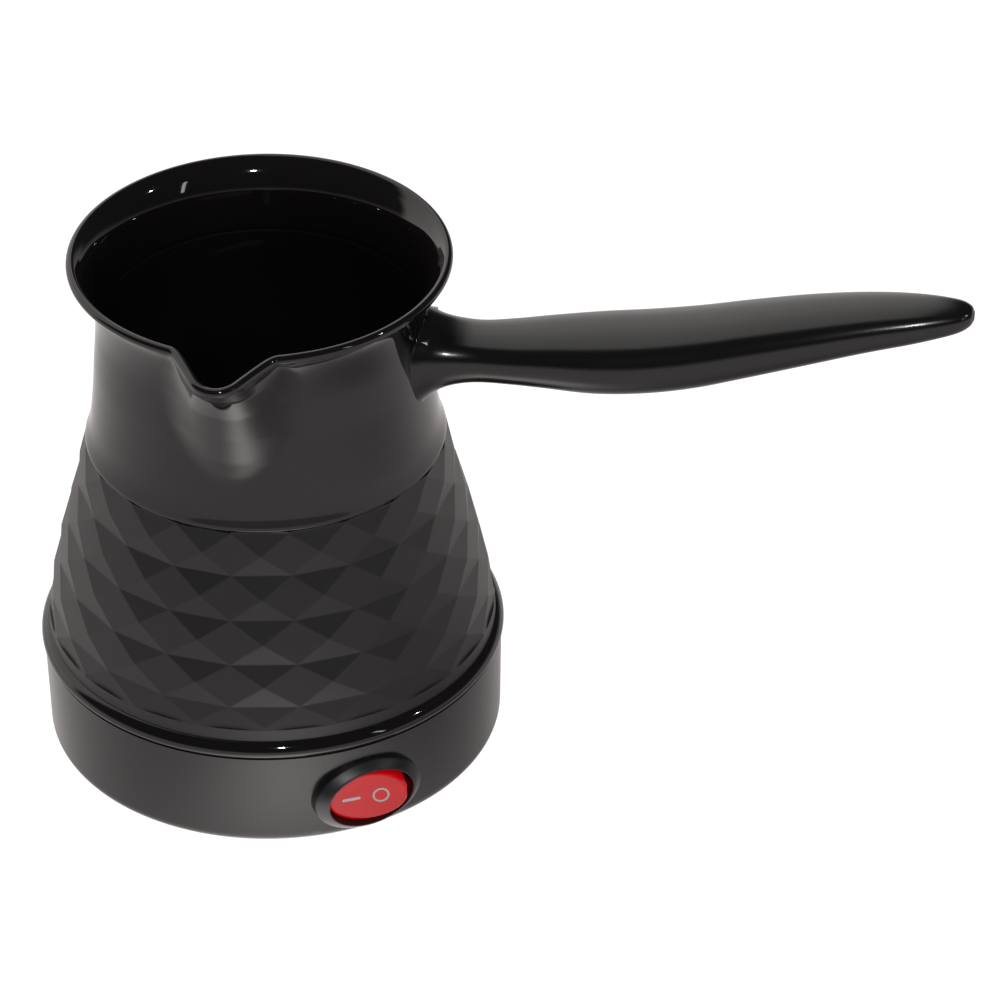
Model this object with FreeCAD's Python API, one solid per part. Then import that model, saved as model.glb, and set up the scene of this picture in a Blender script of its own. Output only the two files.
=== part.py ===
import FreeCAD, Part
import math
import os

# Electric pot for turkish coffee. All sizes in millimetres.
# Frame: origin on the table under the pot's axis, +Z up, handle along +X, spout along -Y.

V = FreeCAD.Vector
UP = V(0, 0, 1)
ORIGIN = V(0, 0, 0)

# Pot body
WALL = 1.5
RIM_Z = 135.8
RIM_R = 46.0
LIP_R = 1.1
SEAM_Z = 85.1
SEAM_R = 44.3
POT_BOTTOM_Z = 36.0
POT_BOTTOM_R = 45.5
NECK_PROFILE = [(46.0, 135.0), (43.4, 132.4), (41.6, 129.2), (40.5, 124.5), (40.1, 119.5), (40.4, 114.0),
                (40.9, 108.5), (41.3, 103.0), (41.9, 96.5), (42.8, 90.0), (44.3, 85.1)]
LEVEL_Z = 118.5
LEVEL_GROOVE_R = 0.5
COLLAR_Z = 113.0

# Spout
SPOUT_HALF_W = 14.8
SPOUT_TIP_Y = 58.5
SPOUT_TIP_R = 4.6
SPOUT_DIP = 1.3
SPOUT_OPEN = 3.0
SPOUT_FOOT_Z = 98.0
SPOUT_FOOT_HALF_W = 3.0

# Faceted skirt
FACETS = 20
SKIRT_T = [(44.32, 84.66), (46.51, 73.91), (49.62, 62.84), (52.24, 51.61), (54.56, 40.69)]
SKIRT_V = [(45.85, 79.17), (48.43, 68.33), (51.45, 57.22), (53.83, 46.32), (55.38, 35.40)]
SKIRT_BOTTOM_Z = 34.6
SKIRT_BOTTOM_R = 55.5
SKIRT_WALL_TOP = 2.42
SKIRT_WALL_BOTTOM = 2.9
SKIRT_IN_TOP_R = SKIRT_T[0][0] - SKIRT_WALL_TOP
SKIRT_IN_BOTTOM_R = SKIRT_BOTTOM_R - SKIRT_WALL_BOTTOM
POT_GAP = 0.4

# Base
BASE_Z = 0.8
BASE_R = 57.0
BASE_LOW_R = 56.5
BASE_ROUND = 3.2
BASE_WALL = 2.2
JOINT_Z = 27.0
LEDGE_Z = 2.6
LEDGE_T = 1.6
LEDGE_R = 46.5
RECESS_R = 50.6
SPIGOT_DEPTH = 2.6
DECK_Z = 30.0
DECK_T = 2.0
DECK_R = 39.0
FIT = 0.1

# Cover and feet
COVER_T = 1.7
COVER_GAP = 0.05
COVER_TOP_Z = BASE_Z + COVER_GAP + COVER_T
FOOT_R = 5.0
FOOT_H = 2.0
FOOT_ORBIT = 36.0
FOOT_COUNT = 4
POST_R = 3.8
POST_ORBIT = 42.0
POST_AZ = [95.0, 215.0, 335.0]
SCREW_R = 1.45
SCREW_LEN = 10.0
SCREW_HEAD_R = 2.8
SCREW_HEAD_H = 1.2
VENT_COUNT = 12
VENT_W = 2.0
VENT_L = 9.0
VENT_ORBIT = 24.0

# Heater
PLATE_R = 33.0
PLATE_T = 3.5
COIL_R = 25.0
TUBE_R = 3.2
COIL_OPEN = 36.0
PIN_Z = 17.0
PIN_R = 1.4
GASKET_IN_R = 39.4
GASKET_OUT_R = 45.4
STUD_R = 2.0
STUD_ORBIT = 42.5
STUD_AZ = [65.0, 185.0, 305.0]
STUD_END_Z = 22.5
NUT_R = 3.7
NUT_H = 3.2
SHIELD_T = 0.6
SHIELD_R = 38.2
SHIELD_FLANGE_R = 46.0
SHIELD_DEPTH = 7.0
THERMO_R = 8.0
THERMO_H = 8.0
BRACKET_T = 0.8
BRACKET_L = 15.0
BRACKET_W = 6.0
FUSE_R = 2.0
FUSE_L = 11.0
FUSE_Y = -14.0

# Switch
SW_AZ = 34.0
SW_Z = 13.3
SW_A = 14.0
SW_B = 9.9
SW_IN_A = 11.1
SW_IN_B = 7.7
SW_LIP = 0.5
SW_PROUD = 3.0
SW_EDGE_PROUD = 1.0
SW_FRONT = BASE_R + SW_PROUD
SW_EDGE = BASE_R + SW_EDGE_PROUD
SW_BACK = BASE_R
SW_SEAT_D = BASE_R - 3.5
SEAT_GAP = 0.03
CASE_A = 12.4
CASE_B = 9.0
CASE_WALL = 1.2
PIVOT_SINK = 4.0
PIVOT_D = SW_FRONT - PIVOT_SINK
PIN_SW_R = 1.5
PIN_SW_GAP = 0.06
PIN_SW_OVER = 0.6
ROCK_A = 10.1
ROCK_B = 7.05
ROCK_EDGE = 3.9
ROCK_MID = 3.2
ROCK_DEEP = 3.4
ROCK_WALL = 1.6
STEM_W = 3.0
STEM_H = 4.4
STEM_LEN = 8.7
REST_TILT = 12.0
BLADE_T = 0.8
BLADE_L = 8.4
BLADE_W = 5.0
BLADE_GAP = 0.1
BLADE_D = PIVOT_D - STEM_LEN - BLADE_T - BLADE_GAP
BLADE_TILT = 9.0
BLADE_VEE = 9.0
BLADE_HUB_R = 0.75
CONTACT_L = 1.6
CONTACT_W = 2.4
CONTACT_T = 0.6
CASE_IN = BLADE_D - 4.6
TAB_W = 4.8
TAB_T = 0.8
TAB_OUT = 6.0
TAB_X = [-8.0, 0.0, 8.0]
HOLE_GAP = 0.15

# Handle
GRIP = [(39.0, 113.2, 14.0, 11.8), (43.5, 112.6, 11.2, 8.6), (50.0, 112.9, 9.2, 6.3), (58.0, 113.5, 9.4, 6.1),
        (70.0, 114.5, 11.0, 6.9), (82.0, 115.4, 12.3, 7.8), (94.0, 116.9, 12.6, 8.0), (106.0, 119.3, 12.3, 7.9),
        (118.0, 122.6, 11.8, 7.4), (132.0, 126.4, 10.9, 6.6), (146.0, 129.8, 9.4, 5.6), (158.0, 132.0, 7.6, 4.6),
        (167.0, 133.4, 5.4, 3.5), (171.6, 134.0, 3.0, 2.0)]
GRIP_SEGMENTS = 24
STRAP_T = 2.4
STRAP_H = 7.0
STRAP_L = 46.0
PAD_W = 16.0
PAD_H = 13.0
GRIP_SCREW_X = [58.0, 74.0]
GRIP_SCREW_R = 1.4
GRIP_SCREW_HEAD_R = 2.6
HEAD_SINK = 2.0

# Cord outlet and wiring
CORD_Z = 12.0
GLAND_R = 4.6
GLAND_BORE_R = 3.1
GLAND_FLANGE_R = 6.6
GLAND_FLANGE_T = 1.6
GLAND_TAIL = 9.0
CLAMP_Y = 42.5
BLOCK_X = 0.0
BLOCK_Y = 22.0
BLOCK_L = 26.0
BLOCK_W = 9.0
BLOCK_H = 9.0
WAY_X = 8.5
WAY_R = 1.5
WAY_Z = 7.0
CLAMP_SCREW_X = 7.5
CLAMP_L = 20.0
CLAMP_W = 6.0
CLAMP_H = 4.0
CLAMP_Z = 6.0
LEAD_R = 1.0
LEAD_GAP = 0.05
LEAD_A_Z = 14.5
LEAD_B_Z = 15.5
LEAD_BEND_Y = 30.0
EARTH_X = -12.0
EARTH_Y = 6.0


def node(name, shape):
    shape.exportStep("parts/" + name + ".step")


def ring(r_out, r_in, z0, z1):
    outer = Part.makeCylinder(r_out, z1 - z0, V(0, 0, z0))
    inner = Part.makeCylinder(r_in, z1 - z0, V(0, 0, z0))
    return outer.cut(inner)


def turn(points):
    wire = Part.makePolygon([V(r, 0, z) for r, z in points] + [V(points[0][0], 0, points[0][1])])
    return Part.Face(wire).revolve(ORIGIN, UP, 360)


def turn_edges(edges):
    return Part.Face(Part.Wire(edges)).revolve(ORIGIN, UP, 360)


def at(az, r, z):
    """A point at azimuth az from -Y towards +X."""
    return V(r * math.sin(math.radians(az)), -r * math.cos(math.radians(az)), z)


def around(shape, az):
    """A shape built along -Y, turned to azimuth az."""
    out = shape.copy()
    out.rotate(ORIGIN, UP, az)
    return out


def neck_curve(offset):
    curve = Part.BSplineCurve()
    curve.interpolate([V(r - offset, 0, z) for r, z in NECK_PROFILE])
    return curve.toShape()


def pot_outer():
    top = NECK_PROFILE[0]
    low = NECK_PROFILE[-1]
    in_top = V(SKIRT_IN_TOP_R - POT_GAP, 0, SEAM_Z)
    edges = [Part.makeLine(V(0, 0, top[1]), V(top[0], 0, top[1])), neck_curve(0)]
    edges.append(Part.makeLine(V(low[0], 0, low[1]), in_top))
    slope = (SKIRT_IN_BOTTOM_R - SKIRT_IN_TOP_R) / (SEAM_Z - SKIRT_BOTTOM_Z)
    low_z = POT_BOTTOM_Z + 5.5
    low_r = SKIRT_IN_TOP_R - POT_GAP + slope * (SEAM_Z - low_z)
    edges.append(Part.makeLine(in_top, V(low_r, 0, low_z)))
    edges.append(Part.Arc(V(low_r, 0, low_z), V(low_r - 1.3, 0, POT_BOTTOM_Z + 1.7),
                          V(POT_BOTTOM_R, 0, POT_BOTTOM_Z)).toShape())
    edges.append(Part.makeLine(V(POT_BOTTOM_R, 0, POT_BOTTOM_Z), V(0, 0, POT_BOTTOM_Z)))
    edges.append(Part.makeLine(V(0, 0, POT_BOTTOM_Z), V(0, 0, top[1])))
    return turn_edges(edges)


def pot_inner():
    """The cavity, a smooth wall from the neck to the bottom."""
    tall = RIM_Z + 6
    first = NECK_PROFILE[0]
    neck = [(r - WALL, z) for r, z in NECK_PROFILE[:9]]
    slope = (SKIRT_IN_BOTTOM_R - SKIRT_IN_TOP_R) / (SEAM_Z - SKIRT_BOTTOM_Z)
    low_z = POT_BOTTOM_Z + 6.5
    low_r = SKIRT_IN_TOP_R - POT_GAP - WALL + slope * (SEAM_Z - low_z)
    neck.append((SKIRT_IN_TOP_R - POT_GAP - WALL + 0.3, SEAM_Z - 2))
    curve = Part.BSplineCurve()
    curve.interpolate([V(r, 0, z) for r, z in neck])
    start = V(first[0] - WALL, 0, first[1])
    low = V(POT_BOTTOM_R - WALL, 0, POT_BOTTOM_Z + WALL)
    edges = [Part.makeLine(V(0, 0, tall), V(start.x, 0, tall)), Part.makeLine(V(start.x, 0, tall), start)]
    edges.append(curve.toShape())
    edges.append(Part.makeLine(V(neck[-1][0], 0, neck[-1][1]), V(low_r, 0, low_z)))
    edges.append(Part.Arc(V(low_r, 0, low_z), V(low_r - 1.2, 0, POT_BOTTOM_Z + WALL + 1.6), low).toShape())
    edges.append(Part.makeLine(low, V(0, 0, POT_BOTTOM_Z + WALL)))
    edges.append(Part.makeLine(V(0, 0, POT_BOTTOM_Z + WALL), V(0, 0, tall)))
    return turn_edges(edges)


def spout_wire(half_w, back_y, tip_y, tip_r, z_back, z_tip):
    """A closed V outline with a rounded tip, tilted down towards the tip."""
    run = tip_y - tip_r - back_y
    lean = math.acos(tip_r / math.hypot(half_w, run)) - math.atan2(run, half_w)
    touch_x = tip_r * math.cos(lean)
    touch_y = tip_y - tip_r + tip_r * math.sin(lean)

    def lift(y):
        return z_back + (z_tip - z_back) * (y - back_y) / (tip_y - back_y)

    left = V(-half_w, -back_y, z_back)
    right = V(half_w, -back_y, z_back)
    t_left = V(-touch_x, -touch_y, lift(touch_y))
    t_right = V(touch_x, -touch_y, lift(touch_y))
    tip = V(0, -tip_y, z_tip)
    arc = Part.Arc(t_left, tip, t_right).toShape()
    return Part.Wire([Part.makeLine(left, t_left), arc, Part.makeLine(t_right, right), Part.makeLine(right, left)])


def spout_solid(inset, z_top):
    rim_z = NECK_PROFILE[0][1]
    upper = spout_wire(SPOUT_HALF_W - inset, RIM_R - 8, SPOUT_TIP_Y - inset, SPOUT_TIP_R - inset * 0.5,
                       rim_z, rim_z - SPOUT_DIP)
    lower = spout_wire(SPOUT_FOOT_HALF_W - inset * 0.5, RIM_R - 10, 41.6 - inset, 1.6 - inset * 0.5,
                       SPOUT_FOOT_Z + inset, SPOUT_FOOT_Z + inset)
    loft = Part.makeLoft([lower, upper], True, True)
    if z_top == 0:
        return loft
    return loft.fuse(Part.Face(upper).extrude(V(0, 0, z_top)))


def vessel():
    body = pot_outer().fuse(spout_solid(0, 0))
    lip_z = NECK_PROFILE[0][1] - 0.2
    lip = Part.makeTorus(RIM_R - LIP_R, LIP_R, V(0, 0, lip_z))
    body = body.fuse(lip)
    body = body.cut(pot_inner())
    body = body.cut(spout_solid(WALL, SPOUT_OPEN))
    groove = Part.makeTorus(38.6, LEVEL_GROOVE_R, V(0, 0, LEVEL_Z))
    return body.cut(groove).removeSplitter()


def skirt_polyhedron():
    step = 360.0 / FACETS

    def tp(i, j):
        return at(step * j, SKIRT_T[i][0], SKIRT_T[i][1])

    def vp(i, j):
        return at(step * (j + 0.5), SKIRT_V[i][0], SKIRT_V[i][1])

    faces = []

    def tri(*pts):
        faces.append(Part.Face(Part.makePolygon(list(pts) + [pts[0]])))

    top_pts = [V(tp(0, j).x, tp(0, j).y, SEAM_Z) for j in range(FACETS)]
    low_pts = [at(step * (j + 0.5), SKIRT_BOTTOM_R, SKIRT_BOTTOM_Z) for j in range(FACETS)]
    for j in range(FACETS):
        k = (j + 1) % FACETS
        tri(top_pts[j], top_pts[k], tp(0, k), tp(0, j))
        for i in range(len(SKIRT_T)):
            tri(tp(i, j), tp(i, k), vp(i, j))
            if i + 1 < len(SKIRT_T):
                tri(tp(i + 1, j), tp(i + 1, k), vp(i, j))
                tri(tp(i, j), tp(i + 1, j), vp(i, j))
                tri(tp(i, k), tp(i + 1, k), vp(i, j))
            else:
                tri(tp(i, k), vp(i, j), vp(i, k))
                tri(vp(i, j), low_pts[j], low_pts[k])
                tri(vp(i, j), low_pts[k], vp(i, k))
    tri(*top_pts)
    tri(*low_pts)
    shell = Part.makeShell(faces)
    shell.sewShape()
    return Part.makeSolid(shell)


def skirt():
    bore = Part.makeCone(SKIRT_IN_BOTTOM_R, SKIRT_IN_TOP_R, SEAM_Z - SKIRT_BOTTOM_Z, V(0, 0, SKIRT_BOTTOM_Z))
    solid = skirt_polyhedron()
    if solid.Volume < 0:
        solid.reverse()
    return solid.cut(bore)


def trim_ring():
    top = SKIRT_BOTTOM_Z
    spigot_r = BASE_R - BASE_WALL - FIT
    edges = []

    def line(a, b):
        edges.append(Part.makeLine(V(a[0], 0, a[1]), V(b[0], 0, b[1])))

    def arc(a, m, b):
        edges.append(Part.Arc(V(a[0], 0, a[1]), V(m[0], 0, m[1]), V(b[0], 0, b[1])).toShape())

    line((DECK_R, DECK_Z), (DECK_R, DECK_Z + DECK_T))
    line((DECK_R, DECK_Z + DECK_T), (SKIRT_IN_BOTTOM_R, DECK_Z + DECK_T))
    line((SKIRT_IN_BOTTOM_R, DECK_Z + DECK_T), (SKIRT_IN_BOTTOM_R, top))
    line((SKIRT_IN_BOTTOM_R, top), (SKIRT_BOTTOM_R - 0.1, top))
    arc((SKIRT_BOTTOM_R - 0.1, top), (55.7, 32.9), (56.5, 31.6))
    arc((56.5, 31.6), (57.3, 31.0), (57.1, 30.2))
    arc((57.1, 30.2), (57.7, 29.0), (57.2, JOINT_Z + 0.6))
    line((57.2, JOINT_Z + 0.6), (BASE_R - 0.5, JOINT_Z + 0.5))
    line((BASE_R - 0.5, JOINT_Z + 0.5), (BASE_R - 0.5, JOINT_Z))
    line((BASE_R - 0.5, JOINT_Z), (spigot_r, JOINT_Z))
    line((spigot_r, JOINT_Z), (spigot_r, JOINT_Z - SPIGOT_DEPTH))
    line((spigot_r, JOINT_Z - SPIGOT_DEPTH), (spigot_r - 2, JOINT_Z - SPIGOT_DEPTH))
    line((spigot_r - 2, JOINT_Z - SPIGOT_DEPTH), (spigot_r - 2, DECK_Z))
    line((spigot_r - 2, DECK_Z), (DECK_R, DECK_Z))
    body = turn_edges(edges)
    for az in POST_AZ:
        low = COVER_TOP_Z + SEAT_GAP
        post = Part.makeCylinder(POST_R, DECK_Z + 0.5 - low, at(az, POST_ORBIT, low))
        body = body.fuse(post)
    for az in POST_AZ:
        pilot = Part.makeCylinder(SCREW_R - 0.05, SCREW_LEN + 4, at(az, POST_ORBIT, 0))
        body = body.cut(pilot)
    for az in STUD_AZ:
        body = body.cut(Part.makeCylinder(STUD_R + 0.3, 10, at(az, STUD_ORBIT, DECK_Z - 4)))
    return body


def switch_frame(shape):
    """Place a shape built with x to the right, y inwards and z up onto the base wall."""
    out = shape.copy()
    out.translate(V(0, 0, SW_Z))
    out.rotate(ORIGIN, UP, SW_AZ)
    return out


def oval(a, b, d_out, d_in):
    """An oval prism between distances d_out and d_in from the axis."""
    circle = Part.Ellipse(ORIGIN, a, b).toShape()
    face = Part.Face(Part.Wire([circle]))
    face.rotate(ORIGIN, V(1, 0, 0), 90)
    face.translate(V(0, -d_in, 0))
    return face.extrude(V(0, -(d_out - d_in), 0))


def block(x0, x1, d0, d1, z0, z1):
    return Part.makeBox(x1 - x0, d1 - d0, z1 - z0, V(x0, -d1, z0))


def housing():
    low_in = BASE_LOW_R - BASE_WALL
    edges = []

    def line(a, b):
        edges.append(Part.makeLine(V(a[0], 0, a[1]), V(b[0], 0, b[1])))

    bend = BASE_ROUND * (1 - math.sqrt(0.5))
    foot_r = BASE_LOW_R - BASE_ROUND
    line((BASE_R, JOINT_Z), (BASE_LOW_R, BASE_Z + BASE_ROUND))
    edges.append(Part.Arc(V(BASE_LOW_R, 0, BASE_Z + BASE_ROUND), V(BASE_LOW_R - bend, 0, BASE_Z + bend),
                          V(foot_r, 0, BASE_Z)).toShape())
    line((foot_r, BASE_Z), (RECESS_R, BASE_Z))
    line((RECESS_R, BASE_Z), (RECESS_R, LEDGE_Z))
    line((RECESS_R, LEDGE_Z), (LEDGE_R, LEDGE_Z))
    line((LEDGE_R, LEDGE_Z), (LEDGE_R, LEDGE_Z + LEDGE_T))
    line((LEDGE_R, LEDGE_Z + LEDGE_T), (low_in, LEDGE_Z + LEDGE_T + 2))
    line((low_in, LEDGE_Z + LEDGE_T + 2), (BASE_R - BASE_WALL, JOINT_Z))
    line((BASE_R - BASE_WALL, JOINT_Z), (BASE_R, JOINT_Z))
    body = turn_edges(edges)
    body = body.cut(switch_frame(oval(CASE_A + HOLE_GAP, CASE_B + HOLE_GAP, SW_FRONT, CASE_IN)))
    hole = Part.makeCylinder(GLAND_R + HOLE_GAP, 12, V(0, 48, CORD_Z), V(0, 1, 0))
    body = body.cut(hole)
    pocket = Part.makeCylinder(GLAND_FLANGE_R + 0.2, 6, V(0, BASE_R - 0.9, CORD_Z), V(0, 1, 0))
    return body.cut(pocket)


def cover():
    plate = Part.makeCylinder(RECESS_R - 0.2, COVER_T, V(0, 0, BASE_Z + COVER_GAP))
    for az in POST_AZ:
        plate = plate.cut(Part.makeCylinder(SCREW_R + 0.25, 6, at(az, POST_ORBIT, 0)))
        plate = plate.cut(Part.makeCylinder(SCREW_HEAD_R + 0.2, SCREW_HEAD_H - 0.3, at(az, POST_ORBIT, BASE_Z)))
    for k in range(FOOT_COUNT):
        az = 45 + 360.0 / FOOT_COUNT * k
        plate = plate.cut(Part.makeCylinder(FOOT_R + 0.1, FOOT_H - BASE_Z, at(az, FOOT_ORBIT, 0.75)))
    plate = plate.cut(Part.makeCylinder(FOOT_R + 0.1, FOOT_H - BASE_Z, V(0, 0, 0.75)))
    for k in range(VENT_COUNT):
        slot = Part.makeBox(VENT_W, VENT_L, 6, V(-VENT_W / 2, -VENT_ORBIT - VENT_L / 2, 0))
        plate = plate.cut(around(slot, 15 + 360.0 / VENT_COUNT * k))
    return plate


def feet():
    parts = []
    for k in range(FOOT_COUNT):
        az = 45 + 360.0 / FOOT_COUNT * k
        foot = Part.makeCylinder(FOOT_R, FOOT_H - 0.06, at(az, FOOT_ORBIT, 0))
        parts.append(foot)
    parts.append(Part.makeCylinder(FOOT_R, FOOT_H - 0.06, ORIGIN))
    return Part.makeCompound(parts)


def cover_screws():
    parts = []
    head_z = BASE_Z + SCREW_HEAD_H - 0.3 - 0.8
    for az in POST_AZ:
        top_z = BASE_Z + SCREW_HEAD_H - 0.3
        shank = Part.makeCylinder(SCREW_R - 0.08, SCREW_LEN, at(az, POST_ORBIT, top_z))
        head = Part.makeCylinder(SCREW_HEAD_R, top_z - head_z, at(az, POST_ORBIT, head_z))
        slot = Part.makeBox(0.7, SCREW_HEAD_R * 1.4, 0.4, V(-0.35, -SCREW_HEAD_R * 0.7, head_z))
        cross = slot.copy()
        cross.rotate(ORIGIN, UP, 90)
        slots = slot.fuse(cross)
        slots.translate(at(az, POST_ORBIT, 0))
        parts.append(shank.fuse(head).cut(slots))
    return Part.makeCompound(parts)


def heat_plate():
    plate = Part.makeCylinder(PLATE_R, PLATE_T, V(0, 0, POT_BOTTOM_Z - PLATE_T))
    groove = Part.makeTorus(COIL_R, TUBE_R + 0.02, V(0, 0, POT_BOTTOM_Z - PLATE_T - TUBE_R + 0.8))
    return plate.cut(groove)


def coil():
    z = POT_BOTTOM_Z - PLATE_T - TUBE_R + 0.8
    start = 180 + COIL_OPEN / 2
    circle = Part.Wire([Part.Circle(V(COIL_R, 0, z), V(0, 1, 0), TUBE_R).toShape()])
    arc = Part.Face(circle).revolve(ORIGIN, UP, 360 - COIL_OPEN)
    arc.rotate(ORIGIN, UP, start - 90 - 0)
    body = arc
    for side in (-1, 1):
        az = 180 + side * COIL_OPEN / 2
        elbow = Part.makeSphere(TUBE_R, at(az, COIL_R, z))
        leg = Part.makeCylinder(TUBE_R, z - 20.2, at(az, COIL_R, 20.2))
        pin = Part.makeCylinder(PIN_R, 20.7 - PIN_Z, at(az, COIL_R, PIN_Z))
        body = body.fuse(elbow).fuse(leg).fuse(pin)
    return body


def shield():
    top = DECK_Z
    low = top - SHIELD_DEPTH
    points = [(0.0, low), (SHIELD_R, low), (SHIELD_R, top - SHIELD_T), (SHIELD_FLANGE_R, top - SHIELD_T),
              (SHIELD_FLANGE_R, top), (SHIELD_R - SHIELD_T, top), (SHIELD_R - SHIELD_T, low + SHIELD_T),
              (0.0, low + SHIELD_T)]
    body = turn(points)
    for az in POST_AZ:
        body = body.cut(Part.makeCylinder(POST_R + 0.3, 4, at(az, POST_ORBIT, top - 2)))
        body = body.cut(Part.makeCylinder(POST_R + 0.3, SHIELD_DEPTH + 2, at(az, POST_ORBIT, low - 1)))
    for az in STUD_AZ:
        body = body.cut(Part.makeCylinder(STUD_R + 0.2, 4, at(az, STUD_ORBIT, top - 2)))
    for side in (-1, 1):
        az = 180 + side * COIL_OPEN / 2
        body = body.cut(Part.makeCylinder(TUBE_R + 1.0, 4, at(az, COIL_R, low - 1)))
    for x in (EARTH_X, -EARTH_X):
        body = body.cut(Part.makeCylinder(2.6, 4, V(x, EARTH_Y, low - 1)))
    return body


def pin_bushes():
    parts = []
    low = DECK_Z - SHIELD_DEPTH
    for side in (-1, 1):
        az = 180 + side * COIL_OPEN / 2
        bush = Part.makeCylinder(TUBE_R + 0.95, 2.2, at(az, COIL_R, low - 0.8))
        parts.append(bush.cut(Part.makeCylinder(TUBE_R + 0.05, 4, at(az, COIL_R, low - 2))))
    return Part.makeCompound(parts)


def studs():
    parts = []
    for az in STUD_AZ:
        parts.append(Part.makeCylinder(STUD_R, POT_BOTTOM_Z - STUD_END_Z, at(az, STUD_ORBIT, STUD_END_Z)))
    return Part.makeCompound(parts)


def nuts():
    parts = []
    z = DECK_Z - SHIELD_T - NUT_H
    for az in STUD_AZ:
        centre = at(az, STUD_ORBIT, z)
        pts = [centre + V(NUT_R * math.cos(math.radians(60 * k)), NUT_R * math.sin(math.radians(60 * k)), 0)
               for k in range(7)]
        hexa = Part.Face(Part.makePolygon(pts)).extrude(V(0, 0, NUT_H))
        parts.append(hexa.cut(Part.makeCylinder(STUD_R + 0.03, NUT_H, centre)))
    return Part.makeCompound(parts)


def gasket():
    body = ring(GASKET_OUT_R, GASKET_IN_R, DECK_Z + DECK_T, POT_BOTTOM_Z)
    for az in STUD_AZ:
        body = body.cut(Part.makeCylinder(STUD_R + 0.2, 8, at(az, STUD_ORBIT, DECK_Z)))
    return body


def thermostat():
    top = POT_BOTTOM_Z - PLATE_T
    cap = Part.makeCylinder(THERMO_R, 3.0, V(0, 0, top - 3.0))
    body = Part.makeCylinder(THERMO_R - 1.0, THERMO_H - 2.9, V(0, 0, top - THERMO_H))
    return cap.fuse(body)


def thermostat_tabs():
    parts = []
    z = POT_BOTTOM_Z - PLATE_T - THERMO_H + 1.5
    for side in (-1, 1):
        x0 = side * (THERMO_R - 1.0)
        tab = Part.makeBox(6.0, 4.8, TAB_T, V(min(x0, x0 + side * 6.0), -2.4, z))
        parts.append(tab)
    return Part.makeCompound(parts)


def bracket():
    top = POT_BOTTOM_Z - PLATE_T
    strap = Part.makeBox(BRACKET_W, BRACKET_L * 2, BRACKET_T, V(-BRACKET_W / 2, -BRACKET_L, top - BRACKET_T))
    strap = strap.cut(Part.makeCylinder(THERMO_R + 0.1, 6, V(0, 0, top - 3)))
    ring_part = ring(THERMO_R + 2.2, THERMO_R + 0.1, top - BRACKET_T, top)
    claw_z = top - 3.0 - BRACKET_T
    claw = ring(THERMO_R + 1.0, THERMO_R - 0.9, claw_z, claw_z + BRACKET_T)
    wall = ring(THERMO_R + 1.0, THERMO_R + 0.1, claw_z, top)
    body = strap.fuse(ring_part).fuse(claw).fuse(wall)
    for y in (-1, 1):
        body = body.cut(Part.makeCylinder(1.3, 6, V(0, y * (BRACKET_L - 2.5), top - 3)))
    return body


def bracket_rivets():
    parts = []
    top = POT_BOTTOM_Z - PLATE_T
    for y in (-1, 1):
        centre = V(0, y * (BRACKET_L - 2.5), top - BRACKET_T - 1.0)
        parts.append(Part.makeCylinder(2.2, 1.0, centre).fuse(Part.makeCylinder(1.25, 1.8, centre)))
    return Part.makeCompound(parts)


def fuse_link():
    z = DECK_Z - SHIELD_DEPTH + SHIELD_T + 3.6
    body = Part.makeCylinder(FUSE_R, FUSE_L, V(-FUSE_L / 2, FUSE_Y - 2, z), V(1, 0, 0))
    for side in (-1, 1):
        wire = Part.makeCylinder(0.5, 4, V(side * FUSE_L / 2, FUSE_Y - 2, z), V(side, 0, 0))
        body = body.fuse(wire)
    return body


def lens_rocker():
    """The rocker: an oval cap that is bounded by a cylinder round its pivot, with a shallow concave face."""
    cap = oval(ROCK_A, ROCK_B, PIVOT_D + ROCK_EDGE, PIVOT_D - ROCK_DEEP)
    swing = Part.makeCylinder(ROCK_A + 0.15, 40, V(0, -PIVOT_D, -20))
    cap = cap.common(swing)
    sag = ROCK_EDGE - ROCK_MID
    big = (ROCK_A * ROCK_A + sag * sag) / (2 * sag)
    dish = Part.makeCylinder(big, 40, V(0, -(PIVOT_D + ROCK_MID + big), -20))
    cap = cap.cut(dish)
    hollow = oval(ROCK_A - ROCK_WALL, ROCK_B - ROCK_WALL, PIVOT_D + ROCK_MID - ROCK_WALL, PIVOT_D - ROCK_DEEP - 1)
    cap = cap.cut(hollow)
    web_x = STEM_W / 2 + 0.8
    web_z = ROCK_B - 0.4
    web = block(-web_x, web_x, PIVOT_D - ROCK_DEEP, PIVOT_D + ROCK_MID - 1.0, -web_z, web_z)
    nose_r = STEM_W / 2
    nose_d = PIVOT_D - STEM_LEN + nose_r
    stem = block(-nose_r, nose_r, nose_d, PIVOT_D, -STEM_H / 2, STEM_H / 2)
    nose = Part.makeCylinder(nose_r, STEM_H, V(0, -nose_d, -STEM_H / 2))
    pin_z = SW_IN_B + PIN_SW_OVER
    pin = Part.makeCylinder(PIN_SW_R, 2 * pin_z, V(0, -PIVOT_D, -pin_z))
    body = cap.fuse(web).fuse(stem).fuse(nose).fuse(pin)
    body.rotate(V(0, -PIVOT_D, 0), UP, -REST_TILT)
    return switch_frame(body)


def base_seat():
    """The outer wall of the base as a cutter, so that the bezel's back sits on it."""
    bend_z = BASE_Z + BASE_ROUND
    wall = Part.makeCone(BASE_LOW_R + SEAT_GAP, BASE_R + SEAT_GAP, JOINT_Z - bend_z, V(0, 0, bend_z))
    low = Part.makeCylinder(BASE_LOW_R + SEAT_GAP, bend_z, ORIGIN)
    return wall.fuse(low)


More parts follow.
